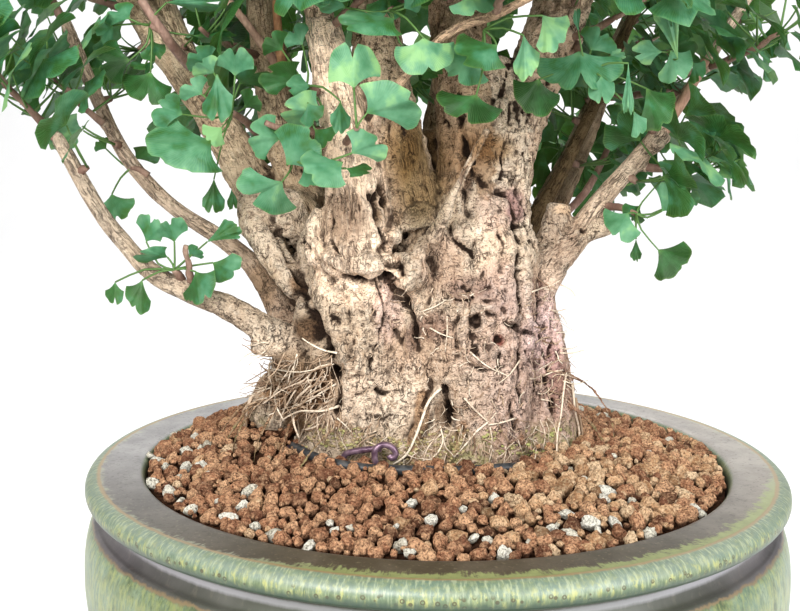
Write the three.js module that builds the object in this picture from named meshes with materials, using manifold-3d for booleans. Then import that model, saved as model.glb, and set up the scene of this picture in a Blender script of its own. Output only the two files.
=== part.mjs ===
// A ginkgo grown as a bonsai, standing in a round glazed drum pot.
// Millimetres, +Z up. Points are first written from the middle of the pot's rim plane, so that
// x is to the right, y is away from the front and z is the height above the rim. The last lines
// move the whole thing so that it stands on z = 0 with its bounding box centred on the origin.
import * as THREE from 'three';
import { mergeVertices } from 'three/addons/utils/BufferGeometryUtils.js';
import Module from 'manifold-3d';

const wasm = await Module();
wasm.setup();
const { Manifold, Mesh: SolidMesh } = wasm;

// ---------------------------------------------------------------- driving dimensions
const RIM_RADIUS = 240; // outer edge of the flat rim
const RIM_WIDTH = 27; // flat top of the rim
const POT_HEIGHT = 155;
const POT_SEGMENTS = 32;
const FLOOR_TOP = -132; // inside floor, below the rim plane
const FLOOR_UNDER = -143.5; // underside of the floor, inside the foot ring
const FOOT_OUTER = 201;
const FOOT_INNER = 180;
const DRAIN_RADIUS = 13;
const DRAIN_CIRCLE = 95; // the drain holes' centres lie on this circle
const DRAIN_COUNT = 3;
const WIRE_HOLE_RADIUS = 5;
const WALL_INNER = 207; // inside of the wall
const WALL_FOOT = -118; // where the wall turns in to the floor
const NOTCH_WIDTH = 34; // drain gaps through the foot ring
const NOTCH_HEIGHT = 5;

const GAP = 0.35; // clearance between pieces that touch
const SLIVER = 0.2; // joining may move a surface by this much to leave out needless edges
const SOIL_EDGE = -4; // soil height at the pot wall
const SOIL_RISE = 12; // how much higher it stands at the trunk
const SOIL_HEAP = 7;
const SOIL_RADIUS = 208.6; // where its top meets the wall

const SCREEN_SIZE = 44;
const SCREEN_THICKNESS = 1.4;
const SCREEN_HOLE = 12;
const SCREEN_PITCH = 19;

const WIRE_RADIUS = 1.7;
const WIRE_SIDES = 5;
const SLEEVE_BORE = 2.4;
const SLEEVE_RADIUS = 3.3;
const SLEEVE_SIDES = 6;
const BORE_OVERRUN = 1; // the bore is cut this far past both ends
const CURL_RADIUS = 7.4;
const CURL_PITCH = 4.2;
const CURL_START = 2;
const CURL_SWEEP = 5.9;

const LEAF_WIDTH = 46;
const LEAF_HEIGHT = 33;
const LEAF_THICKNESS = 0.7;
const STALK_LENGTH = 31;
const STALK_WIDTH = 1.5;
const STALK_THICKNESS = 1.1;
const LEAF_CUP = 0.2; // how far the sides of a blade turn up, in half widths
const LEAF_WAVE = 1.6;
const SHOOT_RADIUS = 3.2;
const PEG_RADIUS = 4.2; // where a limb ends in a shoot
const END_REACH = 6; // how far a limb's own shoot stands off its last stop
const PEG_REACH = 3.5; // how far a peg stands out of its limb
const SHOOT_LIFT = 0.16; // how far a shoot turns up, in lengths
const TOP_LEAF = 0.97; // the topmost leaf's place along its shoot
const LEAFY_PART = 0.75; // the part of a shoot that carries leaves
const LEAF_TRIES = 16; // turns round the shoot at which a leaf may find room
const OWN_CROSSING = 14; // mm3 that a leaf may share with its own shoot
const TREE_MIDDLE_Y = 20;
const BARE_FRONT = { x: 118, y: -20, z: 205 }; // the trunk's front carries no leaf below this

const MATERIALS = {
  glaze: new THREE.MeshStandardMaterial({ color: 0x6b7a5c, roughness: 0.3, metalness: 0 }),
  soil: new THREE.MeshStandardMaterial({ color: 0x9a5a38, roughness: 1, metalness: 0 }),
  bark: new THREE.MeshStandardMaterial({ color: 0xb59c7e, roughness: 0.95, metalness: 0 }),
  leaf: new THREE.MeshStandardMaterial({ color: 0x4f9a62, roughness: 0.6, metalness: 0 }),
  wire: new THREE.MeshStandardMaterial({ color: 0x5b4350, roughness: 0.35, metalness: 0.8 }),
  rubber: new THREE.MeshStandardMaterial({ color: 0x1d2024, roughness: 0.6, metalness: 0 }),
  screen: new THREE.MeshStandardMaterial({ color: 0x2c2c2c, roughness: 0.7, metalness: 0 }),
};

// ---------------------------------------------------------------- small helpers
const point = (x, y, z) => new THREE.Vector3(x, y, z);
const turn = 2 * Math.PI;
const UP = point(0, 0, 1);

// The same three numbers always give the same number from 0 to 1.
function chance(a, b = 0, c = 0) {
  const s = Math.sin(a * 12.9898 + b * 78.233 + c * 37.719) * 43758.5453;
  return s - Math.floor(s);
}

const wobble = (a, b, c) => 2 * chance(a, b, c) - 1;

function smooth(t) {
  const u = Math.min(1, Math.max(0, t));
  return u * u * (3 - 2 * u);
}

function toSolid(geometry) {
  const bare = geometry.clone();
  bare.deleteAttribute('normal');
  bare.deleteAttribute('uv');
  const merged = mergeVertices(bare, 1e-4);
  return new Manifold(new SolidMesh({
    numProp: 3,
    vertProperties: Float32Array.from(merged.attributes.position.array),
    triVerts: Uint32Array.from(merged.index.array),
  }));
}

function toGeometry(solid) {
  const mesh = solid.getMesh();
  const geometry = new THREE.BufferGeometry();
  const corners = Float32Array.from(mesh.vertProperties);
  geometry.setAttribute('position', new THREE.BufferAttribute(corners, 3));
  geometry.setIndex(new THREE.BufferAttribute(Uint32Array.from(mesh.triVerts), 1));
  geometry.computeVertexNormals();
  return geometry;
}

// The largest connected body of a solid, without the slivers that joining leaves.
function mainBody(solid) {
  const bodies = solid.asOriginal().simplify(SLIVER).decompose();
  return bodies.reduce((best, body) => (body.volume() > best.volume() ? body : best));
}

// A closed surface over rings of equally many points. Each ring runs counter-clockwise about
// the way forward.
function loft(rings) {
  const sides = rings[0].length;
  const positions = [];
  const faces = [];
  rings.flat().forEach((p) => positions.push(p.x, p.y, p.z));
  for (let i = 0; i + 1 < rings.length; i++) {
    for (let j = 0; j < sides; j++) {
      const a = i * sides + j;
      const b = i * sides + ((j + 1) % sides);
      faces.push(a, b, b + sides, a, b + sides, a + sides);
    }
  }
  const last = (rings.length - 1) * sides;
  for (let j = 1; j + 1 < sides; j++) {
    faces.push(0, j + 1, j);
    faces.push(last, last + j, last + j + 1);
  }
  const geometry = new THREE.BufferGeometry();
  geometry.setAttribute('position', new THREE.Float32BufferAttribute(positions, 3));
  geometry.setIndex(faces);
  return geometry;
}

// A closed tapering tube through stops [x, y, z, radius]. Rough sets how uneven its bark is.
function tube(stops, { sides = 8, rough = 0, seed = 0, grow = 0 } = {}) {
  const places = stops.map(([x, y, z]) => point(x, y, z));
  const ahead = places.map((p, i) => {
    const next = places[Math.min(i + 1, places.length - 1)];
    const before = places[Math.max(i - 1, 0)];
    return next.clone().sub(before).normalize();
  });
  places[0].addScaledVector(ahead[0], -grow);
  places.at(-1).addScaledVector(ahead.at(-1), grow);
  let side = Math.abs(ahead[0].z) < 0.9 ? UP.clone() : point(1, 0, 0);
  const rings = places.map((centre, i) => {
    side.addScaledVector(ahead[i], -side.dot(ahead[i])).normalize();
    const across = ahead[i].clone().cross(side);
    const ring = [];
    for (let j = 0; j < sides; j++) {
      const angle = (turn * j) / sides;
      const radius = stops[i][3] * (1 + rough * wobble(seed, i, j)) + grow;
      ring.push(centre.clone()
        .addScaledVector(side, radius * Math.cos(angle))
        .addScaledVector(across, radius * Math.sin(angle)));
    }
    return ring;
  });
  return toSolid(loft(rings));
}

// A lumpy ellipsoid.
function burl([x, y, z, rx, ry, rz], seed, grow) {
  const geometry = new THREE.SphereGeometry(1, 6, 5);
  geometry.deleteAttribute('normal');
  geometry.deleteAttribute('uv');
  const merged = mergeVertices(geometry, 1e-4);
  const position = merged.attributes.position;
  for (let i = 0; i < position.count; i++) {
    const lump = 1 + 0.14 * wobble(seed, i, 5);
    position.setXYZ(i,
      x + position.getX(i) * (rx * lump + grow),
      y + position.getY(i) * (ry * lump + grow),
      z + position.getZ(i) * (rz * lump + grow));
  }
  return toSolid(merged);
}

function upright(radius, bottom, top, x, y, sides = 12) {
  const post = new THREE.CylinderGeometry(radius, radius, top - bottom, sides);
  post.rotateX(Math.PI / 2);
  post.translate(x, y, (top + bottom) / 2);
  return toSolid(post);
}

function block(width, depth, height, x, y, z) {
  const box = new THREE.BoxGeometry(width, depth, height);
  box.translate(x, y, z);
  return toSolid(box);
}

// ---------------------------------------------------------------- tree: the skeleton
// The clump's body as rings [height, scale, middle x, middle y] of one lobed outline.
const BODY_RINGS = [
  [-50, 0.5, -5, 14], [-24, 0.82, -8, 15], [4, 1, -8, 15], [32, 0.95, -6, 15],
  [62, 0.9, -4, 15], [92, 0.86, 0, 15], [122, 0.8, 2, 15], [152, 0.68, -2, 17],
  [182, 0.54, -6, 19], [212, 0.42, -8, 20], [236, 0.26, -8, 20],
];
const BODY_HALF_WIDTH = 100;
const BODY_HALF_DEPTH = 80;
const BODY_SIDES = 16;
const COLUMN_SIDES = 8;
const THICK_LIMB = 16; // a limb that starts thicker than this has six sides
const BARK_ROUGH = 0.06;

// Columns that run up the outside of the body, then limbs. Each is a list of [x, y, z, radius].
const COLUMNS = [
  [
    [-60, -16, -12, 36], [-63, -21, 50, 40], [-62, -25, 100, 40], [-58, -29, 130, 33],
    [-56, -34, 152, 24],
  ],
  [
    [24, -20, -12, 44], [24, -22, 60, 47], [26, -22, 100, 45], [32, -18, 150, 39],
    [31, -12, 186, 32],
  ],
  [[38, -12, 140, 32], [41, -13, 200, 25], [47, -9, 246, 23], [45, -3, 284, 15]],
  [[77, 10, -12, 35], [70, 8, 60, 32.5], [60, 6, 104, 30], [58, 0, 150, 26]],
  [[-98, 32, -12, 34], [-92, 30, 60, 34], [-84, 30, 112, 36], [-98, 32, 158, 27]],
  [[-20, 64, -12, 40], [-15, 62, 70, 41], [-5, 58, 130, 36], [4, 62, 168, 26]],
  [[55, 54, -12, 34], [57, 52, 80, 33], [60, 50, 134, 24]],
];

const LIMBS = {
  left: [
    [-98, 32, 158, 24], [-133, 38, 187, 19], [-155, 40, 223, 16], [-180, 40, 264, 14.5],
    [-208, 41, 302, 13], [-232, 42, 338, 11], [-256, 45, 374, 8], [-274, 48, 406, 5.5],
  ],
  leftFork: [
    [-170, 42, 250, 11], [-194, 47, 296, 11], [-210, 50, 338, 9.5], [-219, 56, 378, 7.5],
    [-226, 60, 416, 5.5],
  ],
  leftUpright: [
    [-98, 26, 180, 19], [-117, 28, 236, 15], [-128, 32, 296, 12.5], [-134, 36, 353, 10],
    [-140, 40, 410, 6.5],
  ],
  frontStem: [
    [-56, -34, 132, 22], [-56, -46, 156, 23], [-58, -47, 190, 19], [-63, -47, 228, 16.5],
    [-71, -44, 264, 15], [-79, -40, 300, 13.5],
  ],
  midStem: [
    [-22, -16, 168, 27], [-34, -27, 230, 24], [-42, -27, 290, 19], [-46, -22, 336, 16],
    [-52, -14, 386, 12], [-58, -4, 439, 8], [-60, 0, 477, 5.5],
  ],
  leader: [
    [28, -14, 170, 35], [27, -10, 232, 27], [18, -2, 286, 22], [12, 8, 332, 19],
    [6, 18, 385, 14], [0, 25, 439, 9.5], [-4, 30, 484, 6],
  ],
  rightStem: [
    [44, -2, 140, 25], [45, -8, 190, 21], [56, -6, 240, 21], [76, 0, 286, 22],
    [92, 8, 332, 20.5], [104, 14, 377, 15], [118, 20, 424, 9.5], [128, 24, 461, 6],
  ],
  rightBranch: [
    [62, -2, 116, 22], [85, 0, 144, 17], [105, 2, 161, 10.5], [125, 4, 189.5, 7.5],
    [143, 5, 210, 7], [158, 5, 229, 6.5], [163, 6, 236, 5], [178, 8, 259, 4.2],
    [198, 10, 287, 4.2], [224, 12, 330, 4.2], [250, 14, 367, 4],
  ],
  rightRear: [
    [60, 50, 124, 20], [76, 58, 162, 11.5], [100, 60, 204, 8.5], [126, 62, 259, 7.5],
    [152, 70, 320, 6.5], [182, 82, 374, 5.5], [202, 92, 414, 5],
  ],
  leftThinUpper: [
    [-90, 2, 66, 14], [-111, 0, 94, 11], [-119, 0, 110, 9], [-134, 0, 136, 8],
    [-156, 0, 155, 6.5], [-195, 0, 181, 5.8], [-226, 0, 216, 5.5], [-246, 0, 258, 5.2],
    [-264, -2, 306, 4.5],
  ],
  leftThinLower: [
    [-84, -26, 60, 15], [-104, -38, 84, 12], [-126, -40, 98, 10], [-148, -40, 111, 9],
    [-174, -40, 121, 7.4], [-198, -40, 134, 6.8], [-216, -40, 153.5, 6], [-233, -42, 177, 5.6],
    [-256, -46, 222, 5],
  ],
  backLeft: [
    [-56, 62, 110, 24], [-84, 98, 180, 16], [-112, 136, 250, 12], [-140, 166, 330, 8.5],
    [-160, 185, 383, 5.5],
  ],
  backMiddle: [
    [0, 66, 140, 27], [5, 102, 206, 18], [12, 134, 284, 13.5], [20, 154, 355, 9.5],
    [24, 169, 414, 6],
  ],
  backRight: [
    [60, 58, 108, 22], [94, 90, 170, 15], [130, 122, 240, 11], [160, 151, 310, 8],
    [184, 172, 361, 5.5],
  ],
  frontLeft: [
    [-78, -38, 288, 11], [-86, -56, 345, 8.5], [-100, -104, 394, 5.5],
  ],
  frontMiddle: [
    [14, 2, 316, 12], [24, -36, 368, 9.5], [34, -92, 410, 7], [36, -122, 440, 5],
  ],
  frontRight: [
    [92, 2, 322, 12], [106, -46, 370, 8.5], [128, -94, 408, 5.5],
  ],
  frontTwig: [
    [-44, -34, 224, 6], [-37, -64, 247, 3.8], [1, -78, 288, 3.4], [32, -82, 300, 3.2],
    [60, -86, 314, 3],
  ],
};

// Lumps on the trunk: [x, y, z, half width, half depth, half height].
const BURLS = [
  [-56, -44, 142, 28, 20, 22], [-108, 2, 172, 25, 20, 21], [-82, -20, 148, 18, 17, 24],
  [-20, -50, 136, 16, 14, 14], [50, -22, 206, 15, 14, 24], [14, -42, 152, 20, 13, 20],
  [28, -53, 98, 26, 14, 22], [74, 0, 80, 18, 18, 34], [158, 3, 227, 8, 8, 9],
  [-120, 14, 28, 22, 22, 26], [30, 84, 84, 22, 16, 26],
];

// The hanging finger of wood, cut stubs and the dead twig at the front.
const SNAGS = [
  [
    [-134, 6, 186, 12], [-129, -14, 164, 12], [-114.5, -24, 144, 11], [-104, -27, 127, 9],
    [-99.5, -28, 116, 5.5],
  ],
  [[84, 0, 140, 17], [88, 2, 162, 12.5], [91, 3, 183, 8.5]],
  [[112, 2, 162, 7.5], [126, -4, 166, 5.5], [135, -7, 169, 3.5]],
  [[-98, -34, 80, 9], [-122, -46, 84, 7.5], [-128, -49, 85, 6]],
  [
    [-4, -50, 160, 7], [2, -62, 172, 5], [6, -70, 182, 3.2], [18, -73, 208, 2.8],
    [30, -74, 231, 2.4],
  ],
];

// Fine roots, from the foot of the trunk into the soil.
const ROOTS = [
  [[-94, -28, 62, 2.4], [-112, -44, 40, 2], [-124, -50, 18, 1.6], [-128, -52, 0, 1.4]],
  [[-98, -14, 56, 2.2], [-126, -26, 40, 1.8], [-142, -32, 18, 1.5], [-146, -33, 1, 1.3]],
  [[-102, 2, 52, 2.4], [-134, -6, 34, 1.9], [-150, -12, 14, 1.6], [-156, -14, 0, 1.3]],
  [[-88, -38, 44, 2], [-102, -58, 28, 1.7], [-106, -66, 10, 1.5], [-107, -68, -2, 1.3]],
  [[-108, 20, 44, 2.6], [-142, 16, 30, 2], [-158, 12, 14, 1.6], [-166, 10, 0, 1.3]],
  [[-62, -52, 36, 2.2], [-78, -70, 24, 1.8], [-90, -82, 10, 1.5], [-94, -86, -3, 1.3]],
  [[20, -60, 40, 3], [14, -68, 22, 2.4], [8, -70, 8, 2], [6, -71, -4, 1.6]],
  [[-10, -56, 52, 3.8], [-12, -64, 34, 3.2], [-16, -69, 18, 2.4], [-18, -70.5, -3, 1.8]],
  [[56, -46, 22, 2.6], [66, -57, 14, 2], [76, -62, 5, 1.6], [79, -63, -4, 1.4]],
  [[94, -8, 40, 2.4], [114, -18, 24, 1.8], [124, -24, 8, 1.5], [127, -26, -4, 1.3]],
  [[98, 12, 56, 2], [120, 8, 44, 1.6], [134, 4, 22, 1.4], [138, 3, 0, 1.2]],
  [[-30, 94, 36, 3], [-44, 116, 18, 2.2], [-50, 126, -4, 1.6]],
  [[66, 82, 30, 3], [84, 100, 14, 2.2], [90, 106, -4, 1.6]],
];

// Leafy shoots: [limb, how far along it from 0 to 1, direction, length, leaves].
const SHOOTS = [
  ['left', 0.66, [-0.7, -0.7, 0.1], 66, 4],
  ['left', 0.86, [-0.8, 0.6, 0.2], 66, 4],
  ['left', 1, [-0.5, -0.1, 0.8], 66, 5],
  ['leftFork', 0.62, [0.4, -0.9, 0.3], 56, 4],
  ['leftFork', 1, [-0.1, 0.1, 1], 74, 5],
  ['leftUpright', 0.48, [-0.5, -0.9, 0], 58, 4],
  ['leftUpright', 0.76, [0.5, -0.8, 0.3], 58, 4],
  ['leftUpright', 1, [0, -0.2, 1], 78, 5],
  ['frontStem', 0.62, [-0.7, -0.7, -0.1], 46, 4],
  ['frontStem', 0.98, [0.6, -0.7, 0.3], 46, 4],
  ['midStem', 0.66, [0.3, -0.9, 0.2], 56, 4],
  ['midStem', 0.84, [-0.8, 0.3, 0.3], 66, 4],
  ['midStem', 1, [-0.2, -0.1, 1], 72, 5],
  ['leader', 0.72, [0.2, 0.9, 0.3], 66, 4],
  ['leader', 0.86, [0.5, -0.8, 0.4], 60, 4],
  ['leader', 1, [0.1, 0.1, 1], 74, 5],
  ['rightStem', 0.46, [0.6, -0.8, 0.1], 60, 4],
  ['rightStem', 0.74, [0.9, 0.2, 0.3], 66, 4],
  ['rightStem', 0.88, [-0.1, -0.9, 0.4], 62, 4],
  ['rightStem', 1, [0.3, 0.1, 1], 74, 5],
  ['rightBranch', 0.41, [0.9, -0.4, -0.2], 44, 4],
  ['rightBranch', 0.78, [0.5, -0.8, 0.1], 56, 4],
  ['rightBranch', 1, [0.6, 0, 0.8], 70, 5],
  ['rightRear', 0.52, [0.9, -0.2, 0], 66, 4],
  ['rightRear', 0.78, [0.8, 0.5, 0.2], 66, 4],
  ['rightRear', 1, [0.5, 0.2, 0.9], 70, 5],
  ['leftThinUpper', 0.8, [-0.5, -0.6, 0.5], 50, 4],
  ['leftThinUpper', 1, [-0.5, -0.1, 0.85], 66, 5],
  ['leftThinLower', 0.48, [0, -0.5, 0.85], 24, 4],
  ['leftThinLower', 1, [-0.7, -0.1, 0.7], 60, 5],
  ['backLeft', 0.46, [-0.9, 0.3, 0.1], 66, 4],
  ['backLeft', 0.74, [0.3, 0.9, 0.2], 66, 4],
  ['backLeft', 1, [-0.3, 0.4, 0.9], 70, 5],
  ['backMiddle', 0.5, [0.1, 1, 0], 66, 4],
  ['backMiddle', 0.76, [-0.6, 0.7, 0.3], 66, 4],
  ['backMiddle', 1, [0.1, 0.4, 0.9], 70, 5],
  ['backRight', 0.5, [0.6, 0.7, 0], 62, 4],
  ['backRight', 0.78, [0.9, 0, 0.3], 62, 4],
  ['backRight', 1, [0.5, 0.5, 0.7], 66, 5],
  ['frontTwig', 0.75, [0.1, -0.9, 0.3], 22, 3],
  ['frontTwig', 1, [0.5, -0.5, 0.6], 44, 4],
  ['frontLeft', 0.62, [-0.9, -0.2, 0.2], 60, 4],
  ['frontLeft', 1, [-0.2, -0.6, 0.8], 66, 5],
  ['frontMiddle', 0.6, [0.8, -0.5, 0.1], 54, 4],
  ['frontMiddle', 1, [0, -0.5, 0.9], 66, 5],
  ['frontRight', 0.6, [0.9, -0.2, 0.1], 60, 4],
  ['frontRight', 1, [0.3, -0.6, 0.8], 66, 5],
];

// The place, radius and way forward at part t of a limb.
function along(stops, t) {
  const f = t * (stops.length - 1);
  const i = Math.min(Math.floor(f), stops.length - 2);
  const a = stops[i];
  const b = stops[i + 1];
  const mix = a.map((v, k) => v + (b[k] - v) * (f - i));
  const ahead = point(b[0] - a[0], b[1] - a[1], b[2] - a[2]).normalize();
  return { place: point(mix[0], mix[1], mix[2]), radius: mix[3], ahead };
}

// Where a shoot leaves its limb, and the short peg of the limb that carries it.
function shootBase([limb, t, direction]) {
  const { place, radius, ahead } = along(LIMBS[limb], t);
  const way = point(...direction).normalize();
  const slant = Math.max(0.45, way.clone().cross(ahead).length());
  const reach = t === 1 ? END_REACH : radius / slant + PEG_REACH;
  return { start: place, way, foot: place.clone().addScaledVector(way, reach) };
}

// ---------------------------------------------------------------- tree: trunk
function bodySolid(grow) {
  const rings = BODY_RINGS.map(([height, scale, mx, my], i) => {
    const ring = [];
    for (let j = 0; j < BODY_SIDES; j++) {
      const angle = (turn * j) / BODY_SIDES;
      const [c, s] = [Math.cos(angle), Math.sin(angle)];
      const oval = 1 / Math.hypot(c / BODY_HALF_WIDTH, s / BODY_HALF_DEPTH);
      const lobes = 4 * Math.cos(5 * angle + 0.7) + 3 * Math.cos(8 * angle + 2);
      const radius = (oval + lobes + 2 * wobble(i, j, 3)) * scale + grow;
      ring.push(point(mx + radius * c, my + radius * s, height));
    }
    return ring;
  });
  rings[0].forEach((p) => { p.z -= grow; });
  return toSolid(loft(rings));
}

// Every piece of the trunk, each made larger all round by grow.
function trunkParts(grow) {
  const parts = [bodySolid(grow)];
  COLUMNS.forEach((stops, i) => {
    parts.push(tube(stops, { sides: COLUMN_SIDES, rough: BARK_ROUGH, seed: 20 + i, grow }));
  });
  Object.entries(LIMBS).forEach(([limb, stops], i) => {
    const tip = SHOOTS.find((shoot) => shoot[0] === limb && shoot[1] === 1);
    const all = tip ? [...stops, [...shootBase(tip).foot.toArray(), PEG_RADIUS]] : stops;
    const sides = stops[0][3] > THICK_LIMB ? 6 : 5;
    parts.push(tube(all, { sides, rough: BARK_ROUGH, seed: 40 + i, grow }));
  });
  BURLS.forEach((lump, i) => parts.push(burl(lump, 60 + i, grow)));
  SNAGS.forEach((stops, i) => {
    parts.push(tube(stops, { sides: 5, rough: BARK_ROUGH, seed: 80 + i, grow }));
  });
  ROOTS.forEach((stops) => parts.push(tube(stops, { sides: 3, grow })));
  SHOOTS.filter((shoot) => shoot[1] < 1).forEach((shoot) => {
    const { start, foot } = shootBase(shoot);
    const peg = [start, foot].map((end) => [...end.toArray(), PEG_RADIUS]);
    parts.push(tube(peg, { sides: 4, grow }));
  });
  return parts;
}

// ---------------------------------------------------------------- pot, screens and wires
function potSolid() {
  const outer = RIM_RADIUS;
  const inner = RIM_RADIUS - RIM_WIDTH;
  const foot = [
    [0, FLOOR_UNDER], [FOOT_INNER - 2, FLOOR_UNDER], [FOOT_INNER, -POT_HEIGHT],
    [FOOT_OUTER, -POT_HEIGHT], [FOOT_OUTER + 5, FLOOR_UNDER],
  ];
  const drum = [[228, -129], [244, -107], [251, -78], [250.4, -50], [244, -30.5]];
  const neckAndLip = [[237, -26], [236.5, -19], [241.5, -15], [248.5, -11.5], [249, -6]];
  const inside = [[inner - 3.5, -8], [WALL_INNER, WALL_FOOT], [190, FLOOR_TOP], [0, FLOOR_TOP]];
  const profile = [...foot, ...drum, ...neckAndLip, [outer, 0], [inner, 0], ...inside];
  const outline = profile.map(([r, z]) => new THREE.Vector2(r, z));
  const lathe = new THREE.LatheGeometry(outline, POT_SEGMENTS);
  lathe.rotateX(Math.PI / 2);
  const [low, high] = [FLOOR_UNDER - 6, FLOOR_TOP + 12];
  const drains = drainPlaces().map(({ x, y }) => upright(DRAIN_RADIUS, low, high, x, y));
  const wireHoles = WIRE_HOLES.map(([x, y]) => upright(WIRE_HOLE_RADIUS, low, high, x, y, 8));
  const across = 3 * RIM_RADIUS;
  const notches = [[NOTCH_WIDTH, across], [across, NOTCH_WIDTH]]
    .map(([width, depth]) => block(width, depth, 2 * NOTCH_HEIGHT, 0, 0, -POT_HEIGHT));
  return toSolid(lathe).subtract(Manifold.union([...drains, ...wireHoles, ...notches]));
}

function drainPlaces() {
  return Array.from({ length: DRAIN_COUNT }, (_, k) => {
    const angle = Math.PI / 2 + (turn * k) / DRAIN_COUNT;
    return point(DRAIN_CIRCLE * Math.cos(angle), DRAIN_CIRCLE * Math.sin(angle), FLOOR_TOP);
  });
}

// A square of plastic mesh that lies on the pot floor over a drain hole.
function screenSolid({ x, y, z }) {
  const middle = z + GAP + SCREEN_THICKNESS / 2;
  let screen = block(SCREEN_SIZE, SCREEN_SIZE, SCREEN_THICKNESS, x, y, middle);
  for (const column of [-0.5, 0.5]) {
    for (const row of [-0.5, 0.5]) {
      const [hx, hy] = [x + column * SCREEN_PITCH, y + row * SCREEN_PITCH];
      screen = screen.subtract(block(SCREEN_HOLE, SCREEN_HOLE, 3 * SCREEN_THICKNESS, hx, hy, middle));
    }
  }
  return screen;
}

// Holes in the pot floor for the tie wires.
const WIRE_HOLES = [[-128, -30], [92, -92], [-74, -84], [-52, -92]];

// The wire that crosses the front roots: up through the soil at the left, through the sleeve along
// the front of the trunk, and down through the soil at the right.
const WIRE_RISE = [
  [-100, -14, -147.4], [-118, -24, -147.6], [-127, -29.4, -145], [-128, -30, -132],
  [-127, -30, -80], [-121, -28, -30], [-113, -26, -4], [-108, -26, 4],
];
const SLEEVE_LINE = [
  [-103, -27, 7.5], [-96, -42, 9], [-86, -58, 9], [-71, -73, 8.8], [-53, -79, 7.4],
  [-32, -80.5, 6.4], [-12, -80, 6], [15, -80, 6], [40, -76, 6.4], [54, -72, 6.2],
];
const WIRE_DROP = [
  [63, -72, 0], [72, -78, -24], [85, -88, -80], [92, -92, -132],
  [91, -91.6, -145], [82, -86, -147.6], [70, -77, -147.4],
];
const CROSSING_WIRE = [...WIRE_RISE, ...SLEEVE_LINE, ...WIRE_DROP];

// The second wire: up at the front left, along the foot of the trunk, ending in a standing curl.
const CURL_RISE = [
  [-52, -92, -147.4], [-64, -87, -147.6], [-73, -84.4, -145], [-74, -84, -132], [-73, -80, -80],
  [-70, -69, -30], [-68, -62, -4], [-64, -60, 9], [-57, -61.5, 15.5], [-46, -65.5, 18.5],
];
const CURL_MIDDLE = [-35, -69, 13.6];
function curlWire() {
  const [x, y, z] = CURL_MIDDLE;
  const steps = 12;
  const curl = Array.from({ length: steps + 1 }, (_, k) => {
    const angle = CURL_START - (CURL_SWEEP * k) / steps;
    return [
      x + CURL_RADIUS * Math.cos(angle),
      y - CURL_PITCH * (k / steps),
      z + CURL_RADIUS * Math.sin(angle),
    ];
  });
  return [...CURL_RISE, ...curl];
}

function wireSolid(stops, radius, grow = 0, sides = WIRE_SIDES) {
  return tube(stops.map((stop) => [...stop, radius]), { sides, grow });
}

// ---------------------------------------------------------------- soil
// The surface is level at the wall, rises to the trunk, and is heaped a little at the back left.
function soilHeight(x, y) {
  const reach = Math.hypot(x, y);
  const heap = SOIL_HEAP * Math.exp(-((x + 120) ** 2 + (y - 75) ** 2) / (2 * 55 ** 2));
  const rise = SOIL_RISE * smooth((WALL_INNER - 2 - reach) / 95);
  return SOIL_EDGE + rise + heap * smooth((SOIL_RADIUS + 3.4 - reach) / 40);
}

function soilSolid(cutters) {
  const radii = [SOIL_RADIUS, 192, 173, 152, 130, 106, 64];
  const profile = [
    [188, FLOOR_TOP + GAP], [WALL_INNER - 0.8, WALL_FOOT], [SOIL_RADIUS, SOIL_EDGE - 7],
  ];
  const rings = profile.map(([r, z]) => Array.from({ length: POT_SEGMENTS }, (_, j) => {
    const angle = (turn * j) / POT_SEGMENTS;
    return point(r * Math.cos(angle), r * Math.sin(angle), z);
  }));
  radii.forEach((radius, i) => {
    const free = i === 0 ? 0 : 1; // the ring at the wall stays a true circle
    rings.push(Array.from({ length: POT_SEGMENTS }, (_, j) => {
      const place = j + free * (0.5 * (i % 2) + 0.22 * wobble(i, j, 1));
      const angle = (turn * place) / POT_SEGMENTS;
      const r = radius + 4 * free * wobble(i, j, 2);
      const [x, y] = [r * Math.cos(angle), r * Math.sin(angle)];
      return point(x, y, soilHeight(x, y) + 2.4 * free * wobble(i, j, 3));
    }));
  });
  return mainBody(toSolid(loft(rings)).subtract(Manifold.union(cutters)));
}

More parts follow.
